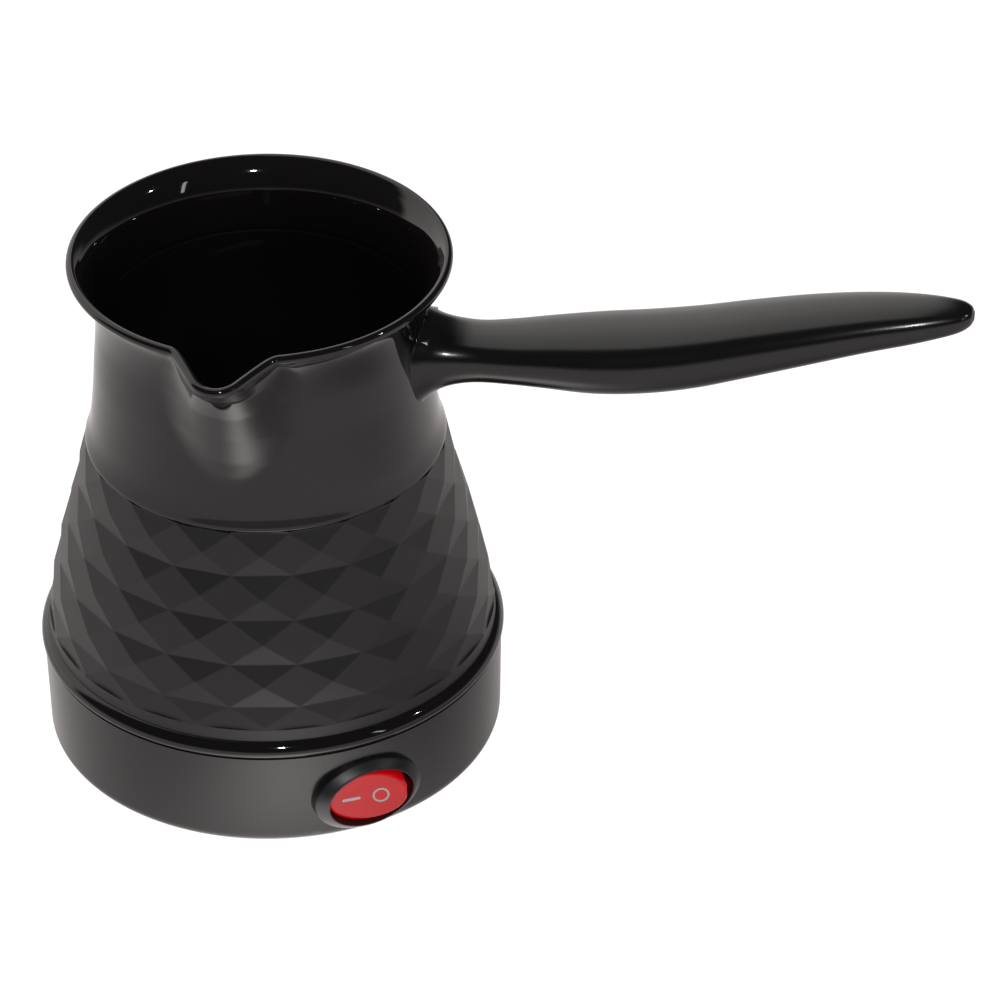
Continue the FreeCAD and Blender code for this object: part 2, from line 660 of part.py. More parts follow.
def bezel():
    """A crowned oval ring with its switch case behind it. The ring rises from its edge to its inner lip."""
    edge = Part.Wire([Part.Ellipse(ORIGIN, SW_A, SW_B).toShape()])
    lip = Part.Wire([Part.Ellipse(ORIGIN, SW_IN_A + SW_LIP, SW_IN_B + SW_LIP).toShape()])
    for wire, d in ((edge, SW_EDGE), (lip, SW_FRONT)):
        wire.rotate(ORIGIN, V(1, 0, 0), 90)
        wire.translate(V(0, -d, 0))
    crown = switch_frame(Part.makeLoft([edge, lip], True, True))
    flange = switch_frame(oval(SW_A, SW_B, SW_EDGE, SW_SEAT_D))
    case = switch_frame(oval(CASE_A, CASE_B, SW_BACK + 0.5, CASE_IN))
    body = flange.fuse(crown).cut(base_seat()).fuse(case)
    room = oval(SW_IN_A, SW_IN_B, SW_FRONT + 1, SW_BACK - 4.5)
    room_deep = oval(CASE_A - CASE_WALL, CASE_B - CASE_WALL, SW_BACK - 3.0, CASE_IN + CASE_WALL)
    body = body.cut(switch_frame(room)).cut(switch_frame(room_deep))
    hole_z = SW_IN_B + PIN_SW_OVER + 0.3
    pin_hole = Part.makeCylinder(PIN_SW_R + PIN_SW_GAP, 2 * hole_z, V(0, -PIVOT_D, -hole_z))
    body = body.cut(switch_frame(pin_hole))
    half_t = TAB_T / 2 + 0.02
    half_w = TAB_W / 2 + 0.02
    for x in TAB_X:
        gap = block(x - half_t, x + half_t, CASE_IN - 1, CASE_IN + 3, -half_w, half_w)
        body = body.cut(switch_frame(gap))
    return body


def switch_tabs():
    """Three flat tabs. The outer two end under the blade's contacts and the middle one under its hub."""
    parts = []
    for x in TAB_X:
        under = BLADE_HUB_R if x == 0 else CONTACT_T
        top_d = BLADE_D - under - BLADE_GAP
        parts.append(block(x - TAB_T / 2, x + TAB_T / 2, CASE_IN - TAB_OUT, top_d, -TAB_W / 2, TAB_W / 2))
    return switch_frame(Part.makeCompound(parts))


def contact_blade():
    """A see-saw blade, bent to a shallow V that the rocker's nose runs in, with a contact under each end."""
    body = Part.makeCylinder(BLADE_HUB_R, BLADE_W, V(0, -BLADE_D, -BLADE_W / 2))
    for side in (-1, 1):
        x0 = min(0, side * BLADE_L)
        arm = block(x0, x0 + BLADE_L, BLADE_D, BLADE_D + BLADE_T, -BLADE_W / 2, BLADE_W / 2)
        c0 = min(side * BLADE_L, side * (BLADE_L - CONTACT_L))
        tip = block(c0, c0 + CONTACT_L, BLADE_D - CONTACT_T, BLADE_D + 0.1, -CONTACT_W / 2, CONTACT_W / 2)
        arm = arm.fuse(tip)
        arm.rotate(V(0, -BLADE_D, 0), UP, -side * BLADE_VEE)
        body = body.fuse(arm)
    body.rotate(V(0, -BLADE_D, 0), UP, BLADE_TILT)
    return switch_frame(body)


def grip_loft(grow, x_from):
    wires = []
    for x, z, a, b in GRIP:
        if x < x_from:
            continue
        pts = []
        for k in range(GRIP_SEGMENTS):
            t = 2 * math.pi * k / GRIP_SEGMENTS
            c = math.cos(t)
            s = math.sin(t)
            flat = 0.9
            y = (a + grow) * math.copysign(abs(c) ** flat, c)
            h = (b + grow) * math.copysign(abs(s) ** flat, s)
            pts.append(V(x, y, z + h))
        curve = Part.BSplineCurve()
        curve.interpolate(pts, True)
        wires.append(Part.Wire([curve.toShape()]))
    return Part.makeLoft(wires, True, False)


def pot_clear():
    """The neck's outer shape as a cutter."""
    return pot_outer()


def strap():
    """The steel strap that is welded to the neck and runs into the handle."""
    tang = Part.makeBox(STRAP_L, STRAP_T, STRAP_H, V(38, -STRAP_T / 2, COLLAR_Z - STRAP_H / 2))
    pad = Part.makeBox(8, PAD_W, PAD_H, V(37.5, -PAD_W / 2, COLLAR_Z - PAD_H / 2))
    limit = Part.makeCylinder(42.6, PAD_H + 2, V(0, 0, COLLAR_Z - PAD_H / 2 - 1))
    body = tang.fuse(pad.common(limit))
    for x in GRIP_SCREW_X:
        body = body.cut(Part.makeCylinder(GRIP_SCREW_R + 0.2, 20, V(x, -10, COLLAR_Z), V(0, 1, 0)))
    return body.cut(pot_clear())


def grip_half(side):
    loft = grip_loft(0, 0)
    keep = Part.makeBox(200, 40, 80, V(0, 0 if side > 0 else -40, 80))
    body = loft.common(keep)
    slot_at = V(36, -STRAP_T / 2 - 0.05, COLLAR_Z - STRAP_H / 2 - 0.05)
    slot = Part.makeBox(STRAP_L + 4, STRAP_T + 0.1, STRAP_H + 0.1, slot_at)
    body = body.cut(slot)
    pad = Part.makeCylinder(42.65, PAD_H + 0.2, V(0, 0, COLLAR_Z - PAD_H / 2 - 0.1))
    pad_box = Part.makeBox(8, PAD_W + 0.2, PAD_H + 0.2, V(37, -PAD_W / 2 - 0.1, COLLAR_Z - PAD_H / 2 - 0.1))
    body = body.cut(pad.common(pad_box))
    for x in GRIP_SCREW_X:
        if side > 0:
            body = body.cut(Part.makeCylinder(GRIP_SCREW_R + 0.1, 30, V(x, -5, COLLAR_Z), V(0, 1, 0)))
            body = body.cut(Part.makeCylinder(GRIP_SCREW_HEAD_R + 0.1, 30, V(x, 5.5, COLLAR_Z), V(0, 1, 0)))
        else:
            body = body.cut(Part.makeCylinder(GRIP_SCREW_R - 0.05, 11, V(x, -6, COLLAR_Z), V(0, 1, 0)))
    return body.cut(pot_clear())


def grip_screws():
    parts = []
    for x in GRIP_SCREW_X:
        shank = Part.makeCylinder(GRIP_SCREW_R - 0.08, 11.5, V(x, -6, COLLAR_Z), V(0, 1, 0))
        head = Part.makeCylinder(GRIP_SCREW_HEAD_R, HEAD_SINK, V(x, 5.5, COLLAR_Z), V(0, 1, 0))
        parts.append(shank.fuse(head))
    return Part.makeCompound(parts)


def gland():
    flange = Part.makeCylinder(GLAND_FLANGE_R, GLAND_FLANGE_T, V(0, BASE_R - 0.85, CORD_Z), V(0, 1, 0))
    neck = Part.makeCylinder(GLAND_R, 8, V(0, BASE_R - 8.5, CORD_Z), V(0, 1, 0))
    lock = Part.makeCylinder(GLAND_R + 1.2, 1.2, V(0, BASE_R - 4.4, CORD_Z), V(0, 1, 0))
    tail = Part.makeCone(GLAND_R, GLAND_R - 0.6, GLAND_TAIL, V(0, BASE_R + 0.6, CORD_Z), V(0, 1, 0))
    body = flange.fuse(neck).fuse(lock).fuse(tail)
    return body.cut(Part.makeCylinder(GLAND_BORE_R, 40, V(0, BASE_R - 12, CORD_Z), V(0, 1, 0)))


def cord_clamp():
    saddle = Part.makeBox(CLAMP_L, CLAMP_W, CLAMP_H, V(-CLAMP_L / 2, CLAMP_Y - CLAMP_W / 2, CLAMP_Z))
    saddle = saddle.cut(Part.makeCylinder(GLAND_BORE_R, 8, V(0, CLAMP_Y - 4, CORD_Z - 2.4), V(0, 1, 0)))
    for x in (-CLAMP_SCREW_X, CLAMP_SCREW_X):
        saddle = saddle.cut(Part.makeCylinder(1.5, 6, V(x, CLAMP_Y, 5)))
    return saddle


def clamp_pads():
    parts = []
    for x in (-CLAMP_SCREW_X, CLAMP_SCREW_X):
        pad = Part.makeCylinder(2.6, CLAMP_Z - COVER_TOP_Z, V(x, CLAMP_Y, COVER_TOP_Z))
        parts.append(pad.cut(Part.makeCylinder(1.4, 3.0, V(x, CLAMP_Y, 3.0))))
    return Part.makeCompound(parts)


def clamp_screws():
    parts = []
    for x in (-CLAMP_SCREW_X, CLAMP_SCREW_X):
        shank = Part.makeCylinder(1.35, 6.6, V(x, CLAMP_Y, 3.4))
        head = Part.makeCylinder(2.5, 1.6, V(x, CLAMP_Y, 10.0))
        parts.append(shank.fuse(head))
    return Part.makeCompound(parts)


def terminal_block():
    corner = V(BLOCK_X - BLOCK_L / 2, BLOCK_Y - BLOCK_W / 2, COVER_TOP_Z)
    body = Part.makeBox(BLOCK_L, BLOCK_W, BLOCK_H, corner)
    for x in (-WAY_X, 0, WAY_X):
        body = body.cut(Part.makeCylinder(WAY_R, 20, V(x, BLOCK_Y - 10, WAY_Z), V(0, 1, 0)))
        body = body.cut(Part.makeCylinder(1.6, 5, V(x, BLOCK_Y, 8.6)))
    return body


def terminal_screws():
    parts = []
    for x in (-WAY_X, 0, WAY_X):
        screw = Part.makeCylinder(1.5, 2.2, V(x, BLOCK_Y, 8.7))
        slot = Part.makeBox(2.2, 0.5, 0.6, V(x - 1.1, BLOCK_Y - 0.25, 10.4))
        parts.append(screw.cut(slot))
    return Part.makeCompound(parts)


def lead(points):
    """A round wire along straight runs with ball corners."""
    body = None
    for a, b in zip(points, points[1:]):
        start = V(*a)
        run = V(*b) - start
        piece = Part.makeCylinder(LEAD_R, run.Length, start, run)
        body = piece if body is None else body.fuse(piece)
    for p in points[1:-1]:
        body = body.fuse(Part.makeSphere(LEAD_R, V(*p)))
    return body


def switch_point(x, d, z):
    p = V(x, -d, SW_Z + z)
    a = math.radians(SW_AZ)
    return (p.x * math.cos(a) - p.y * math.sin(a), p.x * math.sin(a) + p.y * math.cos(a), p.z)


def main_build():
    os.makedirs("parts", exist_ok=True)
    pin_left = at(180 - COIL_OPEN / 2, COIL_R, PIN_Z)
    pin_right = at(180 + COIL_OPEN / 2, COIL_R, PIN_Z)
    tab_end_d = CASE_IN - TAB_OUT - LEAD_R - LEAD_GAP
    tab_0 = switch_point(TAB_X[0], tab_end_d, 0)
    tab_1 = switch_point(TAB_X[1], tab_end_d, 0)
    node("vessel_body", vessel())
    node("faceted_skirt", skirt())
    node("trim_ring", trim_ring())
    node("base_housing", housing())
    node("bottom_cover", cover())
    node("rubber_feet", feet())
    node("cover_screws", cover_screws())
    node("heat_plate", heat_plate())
    node("heating_coil", coil())
    node("heat_shield", shield())
    node("coil_bushes", pin_bushes())
    node("weld_studs", studs())
    node("stud_nuts", nuts())
    node("pot_gasket", gasket())
    node("thermostat", thermostat())
    node("thermostat_tabs", thermostat_tabs())
    node("thermostat_bracket", bracket())
    node("bracket_rivets", bracket_rivets())
    node("thermal_fuse", fuse_link())
    node("switch_case", bezel())
    node("switch_rocker", lens_rocker())
    node("switch_tabs", switch_tabs())
    node("contact_blade", contact_blade())
    node("handle_strap", strap())
    node("handle_front", grip_half(-1))
    node("handle_back", grip_half(1))
    node("handle_screws", grip_screws())
    node("cord_gland", gland())
    node("cord_clamp", cord_clamp())
    node("clamp_pads", clamp_pads())
    node("clamp_screws", clamp_screws())
    node("terminal_block", terminal_block())
    node("terminal_screws", terminal_screws())
    block_front = BLOCK_Y - BLOCK_W / 2 + 0.5
    block_back = BLOCK_Y + BLOCK_W / 2 + 0.5
    coil_a = [(pin_right.x, pin_right.y, PIN_Z), (pin_right.x, pin_right.y, LEAD_A_Z)]
    coil_a += [(-WAY_X, LEAD_BEND_Y, LEAD_A_Z), (-WAY_X, LEAD_BEND_Y, WAY_Z), (-WAY_X, block_back, WAY_Z)]
    coil_b = [(pin_left.x, pin_left.y, PIN_Z), (pin_left.x, pin_left.y, LEAD_B_Z), (17.5, 10.0, LEAD_B_Z)]
    coil_b += [(tab_1[0], tab_1[1], LEAD_B_Z), (tab_1[0], tab_1[1], SW_Z)]
    switch_run = [(tab_0[0], tab_0[1], SW_Z), (tab_0[0], tab_0[1], WAY_Z), (WAY_X, 8.0, WAY_Z)]
    switch_run += [(WAY_X, block_front, WAY_Z)]
    earth = [(0.0, block_front, WAY_Z), (0.0, 10.0, WAY_Z), (EARTH_X, EARTH_Y, 12.0), (EARTH_X, EARTH_Y, 24.5)]
    node("lead_coil_a", lead(coil_a))
    node("lead_coil_b", lead(coil_b))
    node("lead_switch", lead(switch_run))
    node("lead_earth", lead(earth))


main_build()
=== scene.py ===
# %% [markdown]
# # An electric pot for turkish coffee
# The pot is a flared black vessel with a pouring spout, a skirt of peaked facets, a round heated base
# with a red rocker switch, and a long handle. The measured CAD model is loaded first as a fixed frame.
# Most surfaces here are then worked out with numpy in that same frame, in metres: +Z is up, the handle
# points along +X and the spout along -Y.

# %% Load the frame
import math

import bpy
import numpy as np
from mathutils import Matrix, Vector


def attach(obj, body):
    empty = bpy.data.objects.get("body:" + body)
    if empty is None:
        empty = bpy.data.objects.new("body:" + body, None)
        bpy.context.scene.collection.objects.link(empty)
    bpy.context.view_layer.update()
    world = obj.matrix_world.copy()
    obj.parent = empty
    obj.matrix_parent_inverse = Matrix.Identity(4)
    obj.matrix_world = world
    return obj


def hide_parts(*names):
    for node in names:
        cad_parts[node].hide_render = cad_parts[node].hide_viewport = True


MM = 0.001

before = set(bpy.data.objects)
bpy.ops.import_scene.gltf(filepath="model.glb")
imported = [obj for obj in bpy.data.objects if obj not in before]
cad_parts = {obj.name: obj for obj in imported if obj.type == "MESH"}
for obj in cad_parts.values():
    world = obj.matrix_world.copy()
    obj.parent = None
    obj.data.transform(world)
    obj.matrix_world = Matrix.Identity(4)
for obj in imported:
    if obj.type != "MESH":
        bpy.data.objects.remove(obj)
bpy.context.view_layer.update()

# %% [markdown]
# ## Camera
# The photograph looks down on the pot from in front, through a long lens, with the handle to the right.
# A camera can be pushed about in the viewport until it looks right, but here it was fitted to the rim,
# the facets, the base and the handle, so it is written as a place and three angles. Its matrix holds
# three unit vectors, right, up and backwards, and the place. The lens length in millimetres is the focal
# length in pixels times the sensor's width over the picture's width.

# %% Camera
CAM_PLACE = np.array([0.24848, -1.16105, 0.88701])
CAM_YAW, CAM_PITCH, CAM_ROLL = np.radians([-9.33, 34.78, -0.60])
FOCAL_PX, PICTURE_PX, SENSOR_MM = 5860.8, 1000.0, 36.0
CLIP_NEAR, CLIP_FAR = 0.05, 50.0


def add_object(name, data):
    """A new object in the scene for a mesh, a lamp or a camera."""
    obj = bpy.data.objects.new(name, data)
    bpy.context.scene.collection.objects.link(obj)
    return obj


def camera_axes(yaw, pitch, roll):
    """Right, up and forward vectors: forward is turned by yaw about Z and down by pitch.

    Right is level at first and up is square to both. The roll then turns right and up about forward.
    """
    ahead = np.array([np.sin(yaw) * np.cos(pitch), np.cos(yaw) * np.cos(pitch), -np.sin(pitch)])
    right = np.array([np.cos(yaw), -np.sin(yaw), 0.0])
    up = np.cross(right, ahead)
    return (np.cos(roll) * right + np.sin(roll) * up, np.cos(roll) * up - np.sin(roll) * right, ahead)


def add_camera():
    right, up, ahead = camera_axes(CAM_YAW, CAM_PITCH, CAM_ROLL)
    data = bpy.data.cameras.new("photo_camera")
    data.sensor_width = SENSOR_MM
    data.lens = FOCAL_PX * SENSOR_MM / PICTURE_PX
    data.clip_start, data.clip_end = CLIP_NEAR, CLIP_FAR
    cam = add_object("photo_camera", data)
    turn = np.eye(4)
    turn[:3, 0], turn[:3, 1], turn[:3, 2], turn[:3, 3] = right, up, -ahead, CAM_PLACE
    cam.matrix_world = Matrix(turn.tolist())
    bpy.context.scene.camera = cam
    print("camera lens %.1f mm" % data.lens)


add_camera()

# %% [markdown]
# ## Surfaces as grids
# Most pieces are a grid of points: one direction runs along a profile, the other round or along the
# piece. A grid becomes quads by joining each point to its neighbours. Where a direction closes on itself
# the last row joins the first, so there is no seam. Modifiers such as Screw could turn a profile too, but
# a grid of numbers also takes shapes that change all the way round, like the spout and the handle.


# %% Helpers for meshes
def add_mesh(name, points, faces, smooth=True):
    """An object with these points and faces, shaded smooth unless its faces should show."""
    mesh = bpy.data.meshes.new(name)
    mesh.from_pydata(np.asarray(points).tolist(), [], faces)
    mesh.validate()
    if smooth:
        mesh.shade_smooth()
    print(name, len(mesh.vertices), "points", len(mesh.polygons), "faces")
    return add_object(name, mesh)


def grid_faces(rows, cols, close_rows=False, close_cols=False, flip=False):
    """Quads between neighbouring points of a rows by cols grid, row-major."""
    r = np.arange(rows if close_rows else rows - 1)
    c = np.arange(cols if close_cols else cols - 1)
    i, j = np.meshgrid(r, c, indexing="ij")
    i2, j2 = (i + 1) % rows, (j + 1) % cols
    quads = np.stack([i * cols + j, i * cols + j2, i2 * cols + j2, i2 * cols + j], -1).reshape(-1, 4)
    return (quads[:, ::-1] if flip else quads).tolist()


def smooth_path(points, per_span):
    """A Catmull-Rom curve, with per_span points on each span.

    Each span is a cubic through its two points b and c, with tangents from the neighbours a and d. It is
    half of 2b + (c - a) t + (2a - 5b + 4c - d) t^2 + (3b - a - 3c + d) t^3.
    """
    p = np.asarray(points, float)
    p = np.vstack([2 * p[0] - p[1], p, 2 * p[-1] - p[-2]])
    t = np.linspace(0, 1, per_span, endpoint=False)[None, :, None]
    a, b, c, d = p[:-3, None], p[1:-2, None], p[2:-1, None], p[3:, None]
    curve = 0.5 * (2 * b + (c - a) * t + (2 * a - 5 * b + 4 * c - d) * t ** 2
                   + (3 * b - a - 3 * c + d) * t ** 3)
    return np.vstack([curve.reshape(-1, p.shape[1]), p[-2]])


# %% Helpers for round shapes
def at_azimuth(az, r):
    """x and y at azimuth az, measured from -Y towards +X, and radius r: x = r sin(az), y = -r cos(az)."""
    return r * np.sin(az), -r * np.cos(az)


def as_points(x, y, z):
    """Arrays of x, y and z, or single values, as one array of points."""
    return np.stack(np.broadcast_arrays(x, y, z), -1)


def ring_points(az, r, z):
    """Points round the axis at azimuths az, with radius r and height z."""
    return as_points(*at_azimuth(az, r), z)


def full_turn(count):
    """Angles of a full turn in even steps, without the last one, which is the first again."""
    return np.linspace(0, 2 * np.pi, count, endpoint=False)


# %% [markdown]
# ## Materials
# The real pot has few finishes: gloss black on the vessel, ring and handle, a satin black on the skirt
# and base, and a clear red plastic. Black plastic is mostly what it reflects, so its base colour is
# nearly black and the look comes from roughness and from very shallow waves in the surface. Photographed
# textures could do this too, but noise in object coordinates needs no files and has no seams.


# %% Helpers for materials
DRIFT_SCALE, DRIFT_DETAIL = 35.0, 3.0


def new_material(name):
    """A material, its node tree and its main shader."""
    mat = bpy.data.materials.new(name)
    mat.use_nodes = True
    nt = mat.node_tree
    return mat, nt, nt.nodes["Principled BSDF"]


def object_noise(nt, scale, detail=2.0):
    """A 0 to 1 noise that stays with the object, with scale waves in a metre."""
    coords = nt.nodes.new("ShaderNodeTexCoord")
    noise = nt.nodes.new("ShaderNodeTexNoise")
    noise.inputs["Scale"].default_value = scale
    noise.inputs["Detail"].default_value = detail
    nt.links.new(coords.outputs["Object"], noise.inputs["Vector"])
    return noise.outputs["Fac"]


def remap(nt, source, low, high):
    """A 0 to 1 value mapped straight onto low to high."""
    node = nt.nodes.new("ShaderNodeMapRange")
    node.inputs["To Min"].default_value = low
    node.inputs["To Max"].default_value = high
    nt.links.new(source, node.inputs["Value"])
    return node.outputs["Result"]


def tint(nt, source, dark, light):
    """A 0 to 1 value as a colour between dark and light."""
    node = nt.nodes.new("ShaderNodeValToRGB")
    node.color_ramp.elements[0].color = (*dark, 1)
    node.color_ramp.elements[1].color = (*light, 1)
    nt.links.new(source, node.inputs["Fac"])
    return node.outputs["Color"]


def add_bump(nt, shader, height, distance):
    """Tilts the shading as if the surface stood up by height times distance, in metres."""
    node = nt.nodes.new("ShaderNodeBump")
    node.inputs["Distance"].default_value = distance
    node.inputs["Strength"].default_value = 1.0
    nt.links.new(height, node.inputs["Height"])
    nt.links.new(node.outputs["Normal"], shader.inputs["Normal"])


def plastic(name, dark, light, rough, grain_scale, grain_depth, spread=0.03, ior=1.5, metal=0.0):
    """A moulded, coated or metal surface.

    Its colour goes from dark to light, and its roughness from rough - spread to rough + spread, with one
    slow noise. A second, fine noise stands up by grain_depth and gives the grain.
    """
    mat, nt, shader = new_material(name)
    drift = object_noise(nt, DRIFT_SCALE, DRIFT_DETAIL)
    nt.links.new(tint(nt, drift, dark, light), shader.inputs["Base Color"])
    nt.links.new(remap(nt, drift, rough - spread, rough + spread), shader.inputs["Roughness"])
    add_bump(nt, shader, object_noise(nt, grain_scale), grain_depth)
    shader.inputs["IOR"].default_value = ior
    shader.inputs["Metallic"].default_value = metal
    return mat


def set_material(obj, mat):
    obj.data.materials.clear()
    obj.data.materials.append(mat)


# %% The black finishes
GLOSS_BLACK = plastic("gloss_black", (0.007, 0.006, 0.006), (0.010, 0.008, 0.008), rough=0.045,
                      grain_scale=60.0, grain_depth=0.02 * MM, spread=0.01)
HANDLE_BLACK = plastic("handle_black", (0.006, 0.005, 0.005), (0.009, 0.008, 0.008), rough=0.2,
                       grain_scale=900.0, grain_depth=0.01 * MM)
SATIN_BLACK = plastic("satin_black", (0.008, 0.007, 0.007), (0.012, 0.010, 0.010), rough=0.40,
                      grain_scale=1500.0, grain_depth=0.01 * MM, spread=0.04)
BASE_BLACK = plastic("base_black", (0.008, 0.007, 0.007), (0.012, 0.011, 0.011), rough=0.22,
                     grain_scale=1200.0, grain_depth=0.01 * MM)
BEZEL_BLACK = plastic("bezel_black", (0.010, 0.009, 0.009), (0.016, 0.015, 0.015), rough=0.38,
                      grain_scale=1500.0, grain_depth=0.01 * MM)
RUBBER = plastic("rubber", (0.012, 0.012, 0.012), (0.02, 0.02, 0.02), rough=0.7,
                 grain_scale=900.0, grain_depth=0.03 * MM)
print("black finishes", [m.name for m in (GLOSS_BLACK, HANDLE_BLACK, SATIN_BLACK, BASE_BLACK, BEZEL_BLACK,
                                          RUBBER)])

# %% The finishes of the inner pieces and the marks
SILICONE = plastic("silicone", (0.45, 0.45, 0.42), (0.52, 0.52, 0.5), rough=0.55,
                   grain_scale=600.0, grain_depth=0.02 * MM)
STEEL = plastic("steel", (0.45, 0.45, 0.45), (0.6, 0.6, 0.6), rough=0.3,
                grain_scale=400.0, grain_depth=0.01 * MM, spread=0.08, ior=2.5, metal=1.0)
ALUMINIUM = plastic("aluminium", (0.65, 0.65, 0.66), (0.78, 0.78, 0.79), rough=0.4,
                    grain_scale=300.0, grain_depth=0.03 * MM, spread=0.08, metal=1.0)
BRASS = plastic("brass", (0.65, 0.5, 0.2), (0.8, 0.63, 0.3), rough=0.28,
                grain_scale=400.0, grain_depth=0.01 * MM, spread=0.06, metal=1.0)
CERAMIC = plastic("ceramic", (0.7, 0.68, 0.62), (0.85, 0.83, 0.78), rough=0.5,
                  grain_scale=500.0, grain_depth=0.02 * MM)
WIRE_WHITE = plastic("wire_white", (0.7, 0.7, 0.68), (0.82, 0.82, 0.8), rough=0.45,
                     grain_scale=700.0, grain_depth=0.02 * MM)
WIRE_GREEN = plastic("wire_green", (0.2, 0.42, 0.08), (0.3, 0.55, 0.12), rough=0.45,
                     grain_scale=700.0, grain_depth=0.02 * MM)
MARK_WHITE = plastic("mark_white", (0.75, 0.73, 0.74), (0.85, 0.83, 0.84), rough=0.4,
                     grain_scale=900.0, grain_depth=0.01 * MM)
print("other finishes", [m.name for m in (SILICONE, STEEL, ALUMINIUM, BRASS, CERAMIC, WIRE_WHITE, WIRE_GREEN,
                                         MARK_WHITE)])

# %% [markdown]
# ## Clear red plastic
# The rocker is moulded in clear red plastic, so light passes through it and it looks bright even in its
# own shade. It could be rendered as glass, but that is slow and noisy. A little light that spreads under
# the surface and a faint glow of its own give the same look.

# %% Clear red plastic
RED_TINT = ((0.5, 0.001, 0.004), (0.7, 0.003, 0.010))
RED_GLOW = ((0.5, 0.0, 0.004), (0.7, 0.0, 0.008))
RED_ROUGH = (0.12, 0.2)
RED_DRIFT = 120.0


def red_plastic():
    """Red whose tint, roughness and glow drift with one slow noise."""
    mat, nt, shader = new_material("red_clear")
    drift = object_noise(nt, RED_DRIFT)
    nt.links.new(tint(nt, drift, *RED_TINT), shader.inputs["Base Color"])
    nt.links.new(remap(nt, drift, *RED_ROUGH), shader.inputs["Roughness"])
    nt.links.new(tint(nt, drift, *RED_GLOW), shader.inputs["Emission Color"])
    shader.inputs["Emission Strength"].default_value = 0.35
    shader.inputs["Subsurface Weight"].default_value = 0.3
    shader.inputs["Subsurface Scale"].default_value = 2 * MM
    shader.inputs["IOR"].default_value = 1.4
    return mat


RED_CLEAR = red_plastic()
print("finish", RED_CLEAR.name)

# %% [markdown]
# ## The vessel
# The vessel is one wall: up the outside, over a rolled bead at the rim, and down the inside to its floor.
# The skirt hides the lower half of the outside, so the mesh starts at the skirt's upper edge and is open
# there. A turned profile would do for the round part, but the spout changes it all the way up. So each
# level is worked out by itself, as the radius at each azimuth.
#
# Near the rim the spout is a V with a round point, and it meets the round neck in a crease. In polar form
# the circle is a constant radius, the point is an arc, and one side of the V is a straight line that
# touches the arc. The larger of circle and V is the outline, with a soft maximum for the crease. Lower
# down the real spout melts into the neck, so there it is a smooth bump on the circle, and the two shapes
# are blended between.

# %% Vessel profile: radius and height of each point
WALL = 1.5 * MM
NECK = np.array([(46.0, 135.0), (43.4, 132.4), (41.6, 129.2), (40.5, 124.5), (40.1, 119.5), (40.4, 114.0),
                 (40.9, 108.5), (41.3, 103.0), (41.9, 96.5), (42.8, 90.0), (44.3, 85.1)]) * MM
INSIDE = np.array([(44.2, 135.5), (41.9, 132.9), (40.1, 129.4), (39.0, 124.5), (38.6, 119.5), (38.9, 114.0),
                   (39.4, 108.5), (39.8, 103.0), (40.1, 96.5), (40.2, 90.0), (40.6, 83.0), (43.2, 70.0),
                   (46.4, 55.0), (49.3, 43.0), (47.9, 39.2), (44.0, 37.5)]) * MM
RIM_Z, BEAD_Z = 135.0 * MM, 134.9 * MM
BEAD, BEAD_REACH = 1.2 * MM, 46.4 * MM
BEAD_ANGLES = np.linspace(-0.6, 2.3, 13)
FOOT_IN_R, FOOT_IN_DROP = 41.6 * MM, 0.6 * MM
FOOT_OUT_INSET, FOOT_OUT_DROP = 0.35 * MM, 0.05 * MM
FLOOR_Z = 37.5 * MM
FLOOR_RADII = np.array([30.0, 15.0, 3.0]) * MM
LINE_Z, LINE_DEPTH, LINE_WIDTH = 118.5 * MM, 0.3 * MM, 0.55 * MM
LINE_ROWS = LINE_Z + np.array([0.9, 0.5, 0.2, 0, -0.2, -0.5, -0.9]) * MM
VESSEL_COLS = 360
print("inside height %.1f mm" % ((RIM_Z - FLOOR_Z) / MM))

# %% Spout sizes at the heights SPOUT_Z
SPOUT_FOOT = 96.5 * MM
SPOUT_Z = np.array([96.5, 99.0, 104.0, 112.0, 120.0, 127.0, 131.0, 135.0]) * MM
SPOUT_TIP = np.array([41.9, 42.1, 43.1, 45.5, 48.2, 51.6, 54.6, 58.8]) * MM
SPOUT_HALF = np.radians([4.0, 8.0, 14.0, 19.0, 20.5, 20.0, 18.2, 15.8])
SPOUT_ROUND = np.array([16.0, 16.0, 15.0, 13.0, 11.0, 9.0, 8.0, 7.2]) * MM
SPOUT_SOFT = np.array([4.0, 4.0, 4.0, 3.6, 3.0, 2.2, 1.5, 1.0]) * MM
SPOUT_BLEND = (108 * MM, 128 * MM)
BUMP_SPREAD = 1.25
SPOUT_DIP, SPOUT_DIP_WIDTH = 1.3 * MM, math.radians(9.0)
DIP_START, DIP_RUN = 120 * MM, 15 * MM
print("spout reach %.1f mm" % (SPOUT_TIP[-1] / MM))

# %% Azimuths that crowd at the spout
CROWDING, CROWD_WIDTH, CROWD_SAMPLES = 0.75, 0.5, 20001


def azimuths(count):
    """Angles round the vessel, closer near the spout: the step is scaled by 1 - 0.75 exp(-(a / 0.5)^2).

    The points' density is one over that scale. Its running sum is cut into even shares, one for each angle.
    """
    fine = np.linspace(-np.pi, np.pi, CROWD_SAMPLES)
    density = 1.0 / (1.0 - CROWDING * np.exp(-(fine / CROWD_WIDTH) ** 2))
    run = np.concatenate([[0], np.cumsum(0.5 * (density[1:] + density[:-1]))])
    return np.interp(np.linspace(0, run[-1], count, endpoint=False), run, fine)


# %% Soft shapes
def soft_max(a, b, k):
    """The larger of a and b, rounded over a width k: half of a + b + sqrt((a - b)^2 + k^2), less k / 4."""
    return 0.5 * (a + b + np.sqrt((a - b) ** 2 + k * k)) - 0.25 * k


def smooth_step(x, low, high):
    """0 below low, 1 above high and 3t^2 - 2t^3 between."""
    t = np.clip((x - low) / (high - low), 0, 1)
    return t * t * (3 - 2 * t)


# %% Outline of a level
SINE_LIMIT = 0.99


